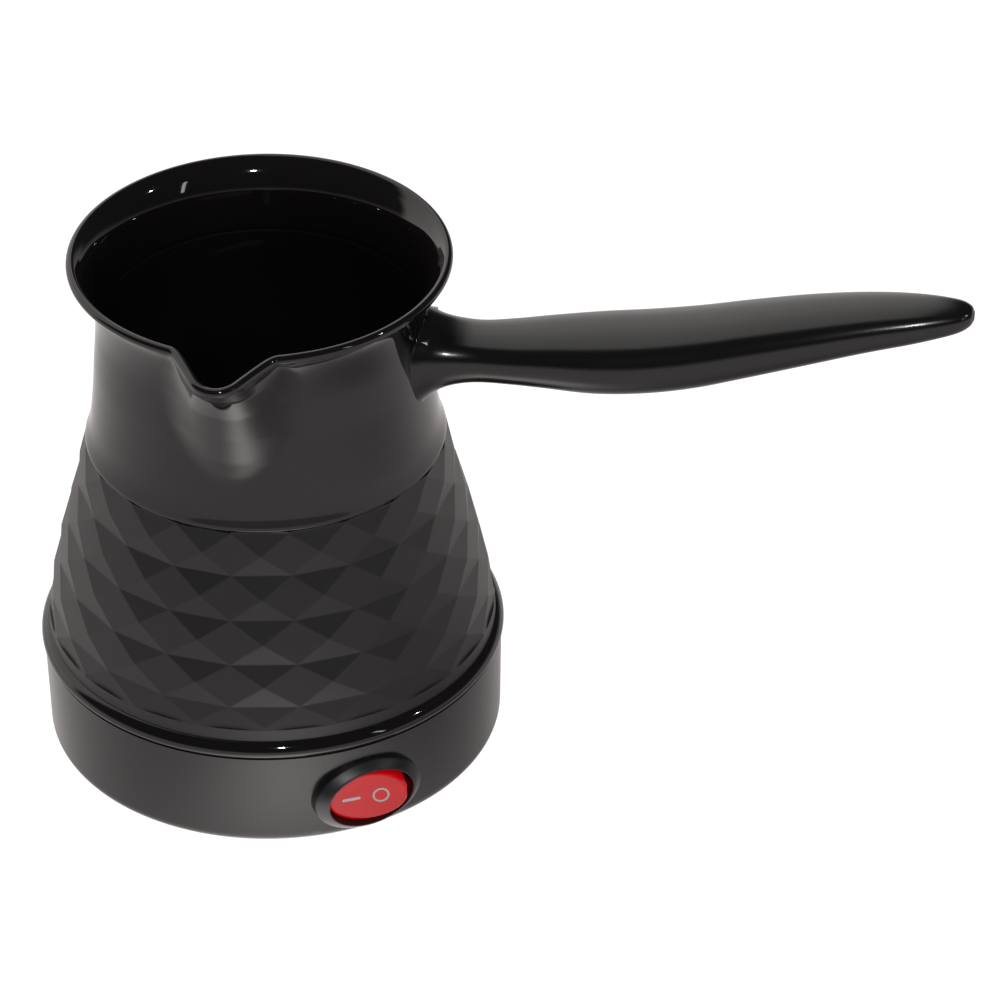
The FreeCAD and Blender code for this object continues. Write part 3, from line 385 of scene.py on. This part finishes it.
def v_radius(off, r, tip, half, p):
    """Radius of the V at angle off: an arc of radius p about a centre c out, then a straight side.

    On the arc r = c cos(off) + sqrt(p^2 - c^2 sin^2(off)). The side runs from the circle at the angle half
    and touches the arc. With a its angle to the axis, r = (c sin(a) + p) / sin(off + a). Past its nearest
    point to the axis it keeps that radius.
    """
    c = tip - p
    back, out = r * math.cos(half) - c, r * math.sin(half)
    a = math.pi - math.asin(min(p / math.hypot(back, out), SINE_LIMIT)) - math.atan2(out, back)
    touch = math.atan2(p * math.cos(a), c + p * math.sin(a))
    arc = c * np.cos(off) + np.sqrt(np.maximum(p * p - (c * np.sin(off)) ** 2, 0))
    side = (c * math.sin(a) + p) / np.sin(np.minimum(off, math.pi / 2 - a) + a)
    return np.where(off < touch, arc, side)


def outline(az, r, z):
    """Radius at azimuth az of the level at height z whose round part has radius r.

    Near the rim it is a soft maximum of the circle and the V. Lower down it is a bump (1 - u^2)^2 on the
    circle, with u the angle over 1.25 times the spout's half angle. The two are blended by height.
    """
    if z <= SPOUT_FOOT:
        return np.full_like(az, r)
    tip, half, p, soft = [float(np.interp(z, SPOUT_Z, row))
                          for row in (SPOUT_TIP, SPOUT_HALF, SPOUT_ROUND, SPOUT_SOFT)]
    off = np.abs(az)
    u = np.minimum(off / (BUMP_SPREAD * half), 1)
    bump = r + max(tip - r, 0) * (1 - u * u) ** 2
    share = float(smooth_step(z, *SPOUT_BLEND))
    if share <= 0:
        return bump
    crisp = np.maximum(r, soft_max(np.full_like(az, r), v_radius(off, r, tip, half, p), soft))
    return share * crisp + (1 - share) * bump


def level(az, r, z, inset=0.0):
    """x and y round one level, moved inwards along the level's own normal by inset."""
    x, y = at_azimuth(az, outline(az, r, z))
    if inset:
        dx = np.roll(x, -1) - np.roll(x, 1)
        dy = np.roll(y, -1) - np.roll(y, 1)
        length = np.hypot(dx, dy)
        x, y = x - dy / length * inset, y + dx / length * inset
    return x, y


# %% Rows of the vessel's wall
def spout_dip(az):
    """How far the rim hangs at the spout: SPOUT_DIP exp(-(az / width)^2)."""
    return SPOUT_DIP * np.exp(-(az / SPOUT_DIP_WIDTH) ** 2)


def dip_share(z):
    """Share of the dip at height z: t^2, with t from 0 at DIP_START to 1 at the rim."""
    return np.clip((z - DIP_START) / DIP_RUN, 0, 1) ** 2


def outside_rows(az):
    """From the foot, which turns in under the skirt's edge, up the neck.

    It stops two points short of the rim, where the bead takes over.
    """
    up = smooth_path(NECK[::-1], per_span=8)
    foot_r, foot_z = up[0]
    rows = [ring_points(az, FOOT_IN_R, foot_z - FOOT_IN_DROP),
            ring_points(az, foot_r - FOOT_OUT_INSET, foot_z - FOOT_OUT_DROP)]
    return rows + [as_points(*level(az, r, z), z - spout_dip(az) * dip_share(z)) for r, z in up[1:-2]]


def bead_rows(az):
    """The rolled rim, an arc of radius BEAD: BEAD (1 - cos b) in from the outline and BEAD sin b up."""
    return [as_points(*level(az, BEAD_REACH, RIM_Z, BEAD * (1 - math.cos(b))),
                      BEAD_Z + BEAD * math.sin(b) - spout_dip(az)) for b in BEAD_ANGLES]


def inside_rows(az):
    """Down the inside from under the bead, one wall in from the outline, to the floor.

    Rows are added about the level line, where a groove LINE_DEPTH exp(-((z - LINE_Z) / LINE_WIDTH)^2) goes
    into the wall.
    """
    line = np.stack([np.interp(LINE_ROWS, INSIDE[::-1, 1], INSIDE[::-1, 0]), LINE_ROWS], -1)
    down = np.vstack([smooth_path(INSIDE, per_span=6)[2:], line])
    rows = []
    for r, z in down[np.argsort(-down[:, 1])]:
        x, y = level(az, r + WALL, z, WALL) if z > SPOUT_FOOT else at_azimuth(az, r)
        scale = 1 + LINE_DEPTH * math.exp(-((z - LINE_Z) / LINE_WIDTH) ** 2) / r
        rows.append(as_points(x * scale, y * scale, z - spout_dip(az) * dip_share(z)))
    return rows + [ring_points(az, r, FLOOR_Z) for r in FLOOR_RADII]


# %% Make the vessel
def make_vessel():
    """The wall as one grid from its foot under the skirt's edge, closed in the floor by a fan of triangles."""
    az = azimuths(VESSEL_COLS)
    grid = np.array(outside_rows(az) + bead_rows(az) + inside_rows(az))
    rows, cols = grid.shape[:2]
    points = np.vstack([grid.reshape(-1, 3), [[0, 0, FLOOR_Z]]])
    last, middle = (rows - 1) * cols, rows * cols
    faces = grid_faces(rows, cols, close_cols=True)
    faces += [[last + j, last + (j + 1) % cols, middle] for j in range(cols)]
    obj = add_mesh("vessel_shell", points, faces)
    set_material(obj, GLOSS_BLACK)
    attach(obj, "pot")
    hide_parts("vessel_body")


make_vessel()

# %% [markdown]
# ## The faceted skirt
# The real skirt is cut like a gem. Rows of creases and peaks alternate: creases stand on the columns 0,
# 18, 36 degrees, and peaks half way between. Each cell between four crease points has one peak in its
# middle, so it is a low pyramid of four triangles. A height texture would lose the sharp outline, so the
# facets are real faces, and a small Bevel rounds their edges as moulding does.

# %% Skirt sizes: radius and height of each row
FACETS = 20
CREASES = np.array([(44.32, 84.66), (46.51, 73.91), (49.62, 62.84), (52.24, 51.61), (54.56, 40.69)]) * MM
PEAKS = np.array([(45.85, 79.17), (48.43, 68.33), (51.45, 57.22), (53.83, 46.32), (55.38, 35.40)]) * MM
SKIRT_BAND = np.array([(55.45, 34.6), (55.6, 31.5), (52.8, 31.5), (42.3, 85.0)]) * MM
SKIRT_TOP = np.array([44.25, 85.05]) * MM
SKIRT_EDGE = 0.28 * MM
SKIRT_EDGE_ANGLE = math.radians(4)
BAND_STEPS = 6
print("facets", FACETS * len(PEAKS))


# %% Faces of the skirt
def facet_faces(n, rows):
    """The triangles of all cells: one above each peak, and three more where a crease row is below it.

    Crease row i starts at point i n and peak row i at (rows + i) n. Cell j lies between columns j and k.
    """
    j = np.arange(n)
    k = (j + 1) % n
    tris = []
    for i in range(rows):
        crease, peak, below = i * n, (rows + i) * n + j, (i + 1) * n
        tris.append(np.stack([crease + k, crease + j, peak], -1))
        if i < rows - 1:
            tris.append(np.stack([below + j, below + k, peak], -1))
            tris.append(np.stack([crease + j, below + j, peak], -1))
            tris.append(np.stack([below + k, crease + k, peak], -1))
    return np.vstack(tris).tolist()


def band_faces(start, count, rows):
    """Quads down a stack of closed rings of count points, the first of which begins at start."""
    a = np.arange(count)
    b = (a + 1) % count
    quads = [np.stack([a + count, b + count, b, a], -1) + start + row * count for row in range(rows - 1)]
    return np.vstack(quads).tolist()


def band_span(start, count, first):
    """The BAND_STEPS + 1 points of a ring of count points that lie along one facet, from the one at first."""
    return [start + (first + m) % count for m in range(BAND_STEPS + 1)]


def skirt_faces(n, rows, count):
    """Facets, a smooth band under them, the hollow inside, and a narrow flat top that closes the wall."""
    band = 2 * rows * n
    inner = band + (len(SKIRT_BAND) - 1) * count
    top = inner + count
    crease, peak = (rows - 1) * n, (2 * rows - 1) * n
    faces = facet_faces(n, rows) + band_faces(band, count, len(SKIRT_BAND))
    faces += [[crease + (j + 1) % n, peak + j, *band_span(band, count, j * BAND_STEPS), peak + (j + 1) % n]
              for j in range(n)]
    faces += [[j, (j + 1) % n, top + (j + 1) % n, top + j] for j in range(n)]
    half = BAND_STEPS // 2
    faces += [[top + j, top + (j + 1) % n, *reversed(band_span(inner, count, j * BAND_STEPS - half))]
              for j in range(n)]
    return faces


# %% Make the skirt
def skirt_points(n, count):
    """Creases, peaks half a column on, the smooth rings that start at a peak, and the top edge."""
    step = 2 * np.pi / n
    az = np.arange(n) * step
    az_band = (np.arange(count) / BAND_STEPS + 0.5) * step
    points = [ring_points(az, r, z) for r, z in CREASES]
    points += [ring_points(az + step / 2, r, z) for r, z in PEAKS]
    points += [ring_points(az_band, r, z) for r, z in SKIRT_BAND]
    return np.vstack(points + [ring_points(az, *SKIRT_TOP)])


def make_skirt():
    """The skirt's closed skin, with a Bevel on every edge that turns by more than SKIRT_EDGE_ANGLE."""
    n, rows, count = FACETS, len(CREASES), FACETS * BAND_STEPS
    obj = add_mesh("skirt_skin", skirt_points(n, count), skirt_faces(n, rows, count), smooth=False)
    bevel = obj.modifiers.new("edges", "BEVEL")
    bevel.width = SKIRT_EDGE
    bevel.segments = 2
    bevel.limit_method = "ANGLE"
    bevel.angle_limit = SKIRT_EDGE_ANGLE
    bevel.harden_normals = True
    obj.data.shade_smooth()
    set_material(obj, SATIN_BLACK)
    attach(obj, "pot")
    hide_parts("faceted_skirt")


make_skirt()

# %% [markdown]
# ## The trim ring
# The gloss ring between the skirt and the base is turned: one rounded bead, with a flat top that the
# skirt stands on and a flat underside on the base. It could be a Screw modifier on a curve. As a grid it
# keeps its seam closed and its place in the mesh.

# %% Trim ring: radius and height round its section
RING = np.array([(52.0, 31.2), (55.2, 31.45), (55.6, 31.4), (56.0, 31.2), (56.6, 30.75), (57.1, 30.2),
                 (57.45, 29.6), (57.6, 29.0), (57.6, 28.5), (57.45, 28.1), (57.2, 27.8), (56.8, 27.62),
                 (56.4, 27.5), (56.3, 27.05), (52.4, 27.0)]) * MM
RING_COLS = 240


def make_ring():
    """The section turned about Z: each of its points is repeated at every azimuth."""
    section = smooth_path(RING, per_span=5)[::-1]
    points = ring_points(full_turn(RING_COLS)[None], section[:, :1], section[:, 1:])
    faces = grid_faces(len(section), RING_COLS, close_rows=True, close_cols=True)
    obj = add_mesh("trim_ring_skin", points.reshape(-1, 3), faces)
    set_material(obj, GLOSS_BLACK)
    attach(obj, "pot")
    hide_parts("trim_ring")


make_ring()

# %% [markdown]
# ## The base and the inner pieces
# The base is a plain satin band with a rounded foot. The CAD solid already has that shape, and so have
# the pieces inside it, so they stay and only get a finish: plastic, rubber, metal, ceramic or wire.

# %% Finishes of the pieces that stay as the CAD has them
KEPT = [(BASE_BLACK, ["base_housing", "bottom_cover", "cord_clamp", "clamp_pads"]),
        (RUBBER, ["rubber_feet", "cord_gland"]),
        (STEEL, ["cover_screws", "heating_coil", "heat_shield", "weld_studs", "stud_nuts",
                 "thermostat_bracket", "handle_strap", "handle_screws", "clamp_screws"]),
        (ALUMINIUM, ["heat_plate", "bracket_rivets", "thermal_fuse"]),
        (CERAMIC, ["coil_bushes", "thermostat", "terminal_block"]),
        (SILICONE, ["pot_gasket"]),
        (BRASS, ["thermostat_tabs", "switch_tabs", "contact_blade", "terminal_screws"]),
        (WIRE_WHITE, ["lead_coil_a", "lead_coil_b", "lead_switch"]),
        (WIRE_GREEN, ["lead_earth"])]
for finish, node_names in KEPT:
    for node_name in node_names:
        set_material(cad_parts[node_name], finish)
    print(finish.name, "on", len(node_names), "pieces")

# %% [markdown]
# ## The switch
# The switch stands in the base wall, 34 degrees round from the spout. Its pieces are worked out in its own
# frame, with x to the right, z up and d the distance from the pot's axis, and then turned into place. That
# is easier to follow than points that are already turned.

# %% Switch frame
SWITCH_AZ = math.radians(34.0)
SWITCH_Z = 13.3 * MM
PIVOT = 56.0 * MM
REST_TILT = math.radians(12.0)


def switch_place(x, d, z):
    """x right, d out and z up in the switch's frame, to the part's frame: a turn about Z and a lift."""
    ca, sa = math.cos(SWITCH_AZ), math.sin(SWITCH_AZ)
    return np.stack([x * ca + d * sa, x * sa - d * ca, z + SWITCH_Z], -1)


def rocker_place(x, h, z):
    """x right, h out from the pivot and z up on the untilted rocker, to the part's frame."""
    c, s = math.cos(REST_TILT), math.sin(REST_TILT)
    return switch_place(x * c - h * s, PIVOT + h * c + x * s, z)


print("switch pivot", np.round(switch_place(0.0, PIVOT, 0.0), 4))

# %% [markdown]
# ### The bezel
# The bezel is an oval frame with a crowned face, and its sides go back into the base. It could be a
# turned ring squashed to an oval, but its two ovals were measured each by itself. So each point is a mix
# of the outer and the inner oval, at a distance from the axis that comes from a short profile.

# %% Bezel: share of the way from the outer to the inner oval, and distance from the axis in mm
BEZEL_OUT = np.array([14.0, 9.8]) * MM
BEZEL_IN = np.array([11.1, 7.7]) * MM
BEZEL_PROFILE = [(0.0, 54.0), (0.0, 56.5), (0.0, 57.5), (0.03, 57.85), (0.12, 58.15), (0.3, 58.65),
                 (0.55, 59.3), (0.8, 59.85), (0.92, 60.0), (0.98, 59.9), (1.0, 59.6), (1.0, 58.0),
                 (1.0, 55.5), (1.0, 53.0), (0.6, 53.0), (0.35, 53.0), (0.3, 54.0)]
BEZEL_COLS = 160


def make_bezel():
    """x = a cos(t) and z = b sin(t), with the half axes a and b a straight mix of the two ovals."""
    prof = smooth_path(BEZEL_PROFILE, per_span=3)
    t = full_turn(BEZEL_COLS)[None]
    mix, d = np.clip(prof[:, :1], 0, 1), prof[:, 1:] * MM
    a, b = [outer + (inner - outer) * mix for outer, inner in zip(BEZEL_OUT, BEZEL_IN)]
    points = switch_place(a * np.cos(t), np.broadcast_to(d, (len(prof), BEZEL_COLS)), b * np.sin(t))
    obj = add_mesh("switch_bezel", points.reshape(-1, 3), grid_faces(len(prof), BEZEL_COLS, True, True))
    set_material(obj, BEZEL_BLACK)
    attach(obj, "pot")
    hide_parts("switch_case")


make_bezel()

# %% [markdown]
# ### The rocker
# The rocker is an oval cap with a shallow dish across its face. It is a grid of ovals, from a small one in
# the middle out to the edge and down the side, closed by two fans. Its rest is 12 degrees to one side, and
# the motion turns it from there.

# %% Rocker: share of the oval and drop under the dish in mm, then the rings of its underside
ROCKER_HALF = np.array([10.1, 7.05]) * MM
DISH_MIDDLE, DISH_RISE = 3.2, 0.7
ROCKER_FACE = [(0.04, 0), (0.12, 0), (0.2, 0), (0.3, 0), (0.4, 0), (0.5, 0), (0.6, 0), (0.7, 0), (0.78, 0),
               (0.86, 0), (0.915, 0.02), (0.945, 0.08), (0.965, 0.2), (0.98, 0.4), (0.99, 0.7), (1.0, 1.2),
               (1.0, 3.0)]
ROCKER_UNDER = [(1.0, -3.3), (0.97, -3.4)]
SWING_ROOM = 10.2 * MM
ROCKER_COLS = 120


def rocker_height(x):
    """A shallow dish across the rocker, in metres: 3.2 mm in the middle, and 0.7 (x/half)^2 mm more."""
    return (DISH_MIDDLE + DISH_RISE * (x / ROCKER_HALF[0]) ** 2) * MM


def make_rocker():
    """Ovals scaled by their share, with every point kept within SWING_ROOM of the pivot that it turns on."""
    t = full_turn(ROCKER_COLS)[None]
    face, under = np.array(ROCKER_FACE), np.array(ROCKER_UNDER)
    share = np.append(face[:, 0], under[:, 0])[:, None]
    x = share * ROCKER_HALF[0] * np.cos(t)
    z = share * ROCKER_HALF[1] * np.sin(t)
    rows, cols = x.shape
    h = np.vstack([rocker_height(x[:len(face)]) - face[:, 1:] * MM,
                   np.broadcast_to(under[:, 1:] * MM, (len(under), cols))])
    limit = np.sqrt(np.maximum(SWING_ROOM ** 2 - h ** 2, 0))
    x = np.clip(x, -limit, limit)
    ends = rocker_place(np.zeros(2), np.array([rocker_height(0.0), h[-1, 0]]), np.zeros(2))
    points = np.vstack([rocker_place(x, h, z).reshape(-1, 3), ends])
    top, bottom, last = rows * cols, rows * cols + 1, (rows - 1) * cols
    faces = grid_faces(rows, cols, close_cols=True, flip=True)
    faces += [[j, (j + 1) % cols, top] for j in range(cols)]
    faces += [[last + (j + 1) % cols, last + j, bottom] for j in range(cols)]
    obj = add_mesh("rocker_cap", points, faces)
    set_material(obj, RED_CLEAR)
    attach(obj, "rocker")
    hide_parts("switch_rocker")


make_rocker()

# %% [markdown]
# ### The marks on the rocker
# A line and a ring are printed white on the face. An image would blur when seen close, so each is a thin
# closed shape that follows the dish and stands a few hundredths of a millimetre over it.

# %% Marks: half sizes and places on the face
MARK_TOP, MARK_FOOT = 0.07 * MM, -0.05 * MM
BAR_X, BAR_HALF_LONG, BAR_HALF_WIDE = -4.2 * MM, 2.3 * MM, 0.4 * MM
RING_X, RING_R, RING_STROKE = 3.2 * MM, 2.1 * MM, 0.5 * MM
MARK_COLS = 72


def face_points(x, z, lift):
    """Points over the rocker's dished face, lifted by lift."""
    return rocker_place(x, rocker_height(x) + lift, z)


def finish_mark(obj):
    set_material(obj, MARK_WHITE)
    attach(obj, "rocker")


def make_bar():
    """A flat bar with round ends: two half circles of radius w, moved apart by the rest of its length."""
    t, w = full_turn(MARK_COLS), BAR_HALF_WIDE
    x = BAR_X + np.sign(np.cos(t)) * (BAR_HALF_LONG - w) + w * np.cos(t)
    z = w * np.sin(t)
    points = np.vstack([face_points(x, z, MARK_TOP), face_points(x, z, MARK_FOOT)])
    caps = [list(range(MARK_COLS))[::-1], list(range(MARK_COLS, 2 * MARK_COLS))]
    faces = grid_faces(2, MARK_COLS, close_cols=True) + caps
    finish_mark(add_mesh("mark_on", points, faces, smooth=False))


def make_ring_mark():
    """A square section carried round a circle: outside foot and top, then inside top and foot."""
    t, inside = full_turn(MARK_COLS), 1 - RING_STROKE / RING_R
    section = [(1.0, MARK_FOOT), (1.0, MARK_TOP), (inside, MARK_TOP), (inside, MARK_FOOT)]
    points = [face_points(RING_X + RING_R * k * np.cos(t), RING_R * k * np.sin(t), lift)
              for k, lift in section]
    finish_mark(add_mesh("mark_off", np.vstack(points), grid_faces(4, MARK_COLS, True, True, True)))


make_bar()
make_ring_mark()

# %% [markdown]
# ## The handle
# The handle is two shells that meet on its upright middle plane. A row of stations along X gives the
# centre height, the half width and the half height. Round each station the section is a superellipse,
# which is flatter on top than an ellipse. At the root the sections are pushed out of the neck, so the
# collar sits on it. A subdivided box would be quicker to pull into shape, but it wouldn't hold the
# measured stations or meet the round neck.

# %% Handle: x, centre height, half width and half height of each station
STATIONS = np.array([(36.0, 110.4, 13.6, 12.0), (39.5, 110.8, 12.3, 10.9), (43.5, 111.9, 10.4, 8.3),
                     (48.0, 112.6, 9.4, 6.8), (54.0, 113.1, 9.1, 6.1),
                     (62.0, 113.8, 10.0, 6.3), (70.0, 114.5, 11.0, 6.9), (82.0, 115.4, 12.3, 7.8),
                     (94.0, 116.9, 12.6, 8.0), (106.0, 119.3, 12.3, 7.9), (118.0, 122.6, 11.8, 7.4),
                     (132.0, 126.4, 10.9, 6.6), (146.0, 129.8, 9.4, 5.6), (158.0, 132.0, 7.6, 4.6),
                     (167.0, 133.4, 5.2, 3.4), (170.4, 133.9, 3.2, 2.2), (171.5, 134.0, 1.2, 0.9)]) * MM
SECTION_POWER = 0.82
HALF_COLS = 40
CHORD = np.linspace(1, -1, 12)[1:-1]
COLLAR_END = 60 * MM
COLLAR_BITE = 0.4 * MM
COLLAR_SOFT = 0.4 * MM


def neck_radius(z):
    """The neck's outer radius at height z, straight between the profile's points."""
    return np.interp(z, NECK[::-1, 1], NECK[::-1, 0])


def section_grid(side):
    """Points of one half, row by row: up round the outside, then down the flat face on the middle plane.

    With t from -90 to 90 degrees, y = a |cos t|^p and z = zc + b |sin t|^p with the sign of sin t. Near the
    root x is a soft maximum of the station's x and the neck, which is a circle's sqrt(r^2 - y^2).
    """
    line = smooth_path(STATIONS, per_span=7)
    t = np.linspace(-np.pi / 2, np.pi / 2, HALF_COLS)
    c, s = np.cos(t), np.sin(t)
    x, zc, a, b = [line[:, i:i + 1] for i in range(4)]
    y = side * a * (np.sign(c) * np.abs(c) ** SECTION_POWER)[None]
    z = zc + b * (np.sign(s) * np.abs(s) ** SECTION_POWER)[None]
    x = np.broadcast_to(x, y.shape).copy()
    neck = np.sqrt(np.maximum(neck_radius(z) ** 2 - y ** 2, 0)) - COLLAR_BITE
    x = np.where(x < COLLAR_END, soft_max(x, neck + COLLAR_SOFT / 2, COLLAR_SOFT), x)
    x[0] = neck[0]
    flat = as_points(x[:, :1], 0.0, zc + b * CHORD[None])
    return np.concatenate([as_points(x, y, z), flat], 1)


# %% Make the handle's halves
def mark_sharp(mesh, cols, chosen):
    """Marks the edges that run along the chosen columns of a grid, so the shading breaks there."""
    ends = np.empty(2 * len(mesh.edges), dtype=np.int32)
    mesh.edges.foreach_get("vertices", ends)
    first, second = (ends.reshape(-1, 2) % cols).T
    mesh.edges.foreach_set("use_edge_sharp", (first == second) & np.isin(first, chosen))


def handle_half(name, side):
    """One half as a closed grid with flat ends; side is -1 in front and 1 behind."""
    grid = section_grid(side)
    rows, n = grid.shape[:2]
    faces = grid_faces(rows, n, close_cols=True, flip=side > 0)
    root, tip = list(range(n)), list(range((rows - 1) * n, rows * n))
    faces += [root, tip[::-1]] if side < 0 else [root[::-1], tip]
    obj = add_mesh(name + "_skin", grid.reshape(-1, 3), faces)
    mark_sharp(obj.data, n, (0, HALF_COLS - 1))
    set_material(obj, HANDLE_BLACK)
    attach(obj, "pot")
    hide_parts(name)


handle_half("handle_front", -1)
handle_half("handle_back", 1)

# %% [markdown]
# ## Floor
# The pot stands on a white sheet. To the camera the sheet is plain white. The black gloss shows it too,
# and there it is brightest in a pool of light before the pot and dimmer under the handle. One floor can do
# both, because a Light Path node tells which kind of ray looks at it. A part of it stays ordinary paint,
# which takes the pot's shadow.

# %% Floor
FLOOR_HALF = 25.0
FLOOR_PAINT, FLOOR_ROUGH = (0.8, 0.8, 0.8, 1), 0.9
FLOOR_TINT, FLOOR_SEEN = (1.0, 0.95, 0.935, 1), 1.3
GLOW_SHARE = 0.85
POOL_FRONT = {"centre": (0.022, -0.080), "width": 0.036, "low": 0.9, "high": 3.4}
POOL_SHADE = {"centre": (0.14, -0.02), "width": 0.10, "low": 0.0, "high": -0.55}


def math_node(nt, operation, *values):
    """The result of a Math node. A value is a number or the socket that it comes from."""
    node = nt.nodes.new("ShaderNodeMath")
    node.operation = operation
    for socket, value in zip(node.inputs, values):
        if isinstance(value, bpy.types.NodeSocket):
            nt.links.new(value, socket)
        else:
            socket.default_value = value
    return node.outputs[0]


def pool(nt, centre, width, low, high):
    """A round pool: low + (high - low) exp(-d^2 / width^2), with d the distance from centre in metres."""
    coords = nt.nodes.new("ShaderNodeTexCoord")
    away = nt.nodes.new("ShaderNodeVectorMath")
    away.operation = "DISTANCE"
    away.inputs[1].default_value = (*centre, 0)
    nt.links.new(coords.outputs["Object"], away.inputs[0])
    square = math_node(nt, "POWER", away.outputs["Value"], 2.0)
    fall = math_node(nt, "MULTIPLY", square, -1 / width ** 2)
    return remap(nt, math_node(nt, "EXPONENT", fall), low, high)


def floor_material():
    """Paint mixed with a glow, whose strength is fixed for the camera and the pools' sum for the gloss."""
    mat, nt, paint = new_material("floor_white")
    paint.inputs["Base Color"].default_value = FLOOR_PAINT
    paint.inputs["Roughness"].default_value = FLOOR_ROUGH
    path = nt.nodes.new("ShaderNodeLightPath")
    seen, glossy = path.outputs["Is Camera Ray"], path.outputs["Is Glossy Ray"]
    strength = nt.nodes.new("ShaderNodeMix")
    strength.inputs["B"].default_value = FLOOR_SEEN
    nt.links.new(seen, strength.inputs["Factor"])
    nt.links.new(math_node(nt, "ADD", pool(nt, **POOL_FRONT), pool(nt, **POOL_SHADE)), strength.inputs["A"])
    glow = nt.nodes.new("ShaderNodeEmission")
    glow.inputs["Color"].default_value = FLOOR_TINT
    nt.links.new(strength.outputs["Result"], glow.inputs["Strength"])
    mix = nt.nodes.new("ShaderNodeMixShader")
    nt.links.new(remap(nt, math_node(nt, "MAXIMUM", seen, glossy), 0.0, GLOW_SHARE), mix.inputs["Fac"])
    nt.links.new(paint.outputs["BSDF"], mix.inputs[1])
    nt.links.new(glow.outputs["Emission"], mix.inputs[2])
    nt.links.new(mix.outputs["Shader"], nt.nodes["Material Output"].inputs["Surface"])
    return mat


def make_floor():
    """One large square at the feet."""
    s = FLOOR_HALF
    obj = add_mesh("floor", [(-s, -s, 0), (s, -s, 0), (s, s, 0), (-s, s, 0)], [[0, 1, 2, 3]], smooth=False)
    set_material(obj, floor_material())


make_floor()

# %% [markdown]
# ## Room
# Black gloss is a mirror, so what stands round the pot matters more than its colour. The room is dim with
# a grey band near the horizon, and a bright sweep stands behind the pot on the left. Large lamps could
# stand for these, but a world colour that depends on the direction has no edges and adds no noise.

# %% World
DIM, BAND, SWEEP = (0.05, 0.05, 0.055, 1), (0.4, 0.38, 0.37, 1), (1.12, 1.1, 1.07, 1)
BAND_Z = (0.2, 0.06)
SWEEP_Y, SWEEP_X = (-0.02, 0.12), (-0.03, -0.10)


def ramp(nt, source, start, end):
    """0 at start and 1 at end, which may be below it, with a smooth step 3t^2 - 2t^3 between."""
    node = nt.nodes.new("ShaderNodeMapRange")
    node.interpolation_type = "SMOOTHSTEP"
    node.inputs["From Min"].default_value = start
    node.inputs["From Max"].default_value = end
    nt.links.new(source, node.inputs["Value"])
    return node.outputs["Result"]


def blend_colours(nt, share, second):
    """A Mix node that goes to the colour second by share. Its input A is still to be set."""
    node = nt.nodes.new("ShaderNodeMix")
    node.data_type = "RGBA"
    node.inputs["B"].default_value = second
    nt.links.new(share, node.inputs["Factor"])
    return node


def make_world():
    """Dim to band by the height of the direction, and that to the sweep where it points back and left."""
    world = bpy.data.worlds.new("dim_room")
    world.use_nodes = True
    nt = world.node_tree
    coords = nt.nodes.new("ShaderNodeTexCoord")
    split = nt.nodes.new("ShaderNodeSeparateXYZ")
    nt.links.new(coords.outputs["Generated"], split.inputs[0])
    room = blend_colours(nt, ramp(nt, split.outputs["Z"], *BAND_Z), BAND)
    room.inputs["A"].default_value = DIM
    behind = math_node(nt, "MULTIPLY", ramp(nt, split.outputs["Y"], *SWEEP_Y),
                       ramp(nt, split.outputs["X"], *SWEEP_X))
    sky = blend_colours(nt, behind, SWEEP)
    nt.links.new(room.outputs["Result"], sky.inputs["A"])
    nt.links.new(sky.outputs["Result"], nt.nodes["Background"].inputs["Color"])
    bpy.context.scene.world = world
    print("world", world.name)


make_world()

# %% [markdown]
# ## Lamps
# The black gloss shows small bright points and a pale bar. A small bulb gives a point and a tall narrow
# softbox gives a bar. Each lamp is placed by the direction that it shines from, which is easier to set
# from a highlight than a place in metres.

# %% Lamps
LAMP_AWAY = 1.6
LAMP_AIM = (0, 0, 0.13)


def from_direction(az, el):
    """The place LAMP_AWAY from the aim, at azimuth az (from -Y towards +X) and elevation el in degrees."""
    a, e = math.radians(az), math.radians(el)
    return (LAMP_AWAY * math.cos(e) * math.sin(a), -LAMP_AWAY * math.cos(e) * math.cos(a),
            LAMP_AIM[2] + LAMP_AWAY * math.sin(e))


def add_softbox(name, az, el, size, power):
    """A rectangle of size in metres that faces the aim."""
    data = bpy.data.lights.new(name, "AREA")
    data.shape = "RECTANGLE"
    data.size, data.size_y = size
    data.energy = power
    lamp = add_object(name, data)
    lamp.location = from_direction(az, el)
    lamp.rotation_euler = (Vector(LAMP_AIM) - lamp.location).to_track_quat("-Z", "Y").to_euler()
    print("softbox", name, size, "m", power, "W")


def add_bulb(name, az, el, power, radius):
    """A round bulb of radius in metres."""
    data = bpy.data.lights.new(name, "POINT")
    data.energy = power
    data.shadow_soft_size = radius
    add_object(name, data).location = from_direction(az, el)
    print("bulb", name, power, "W")


add_bulb("flash", az=14.0, el=44.0, power=30.0, radius=0.03)
add_bulb("side_bulb", az=89.0, el=37.0, power=5.0, radius=0.02)
add_softbox("strip", az=62.0, el=28.0, size=(0.06, 0.5), power=0.6)
bpy.context.scene.view_settings.view_transform = "Standard"
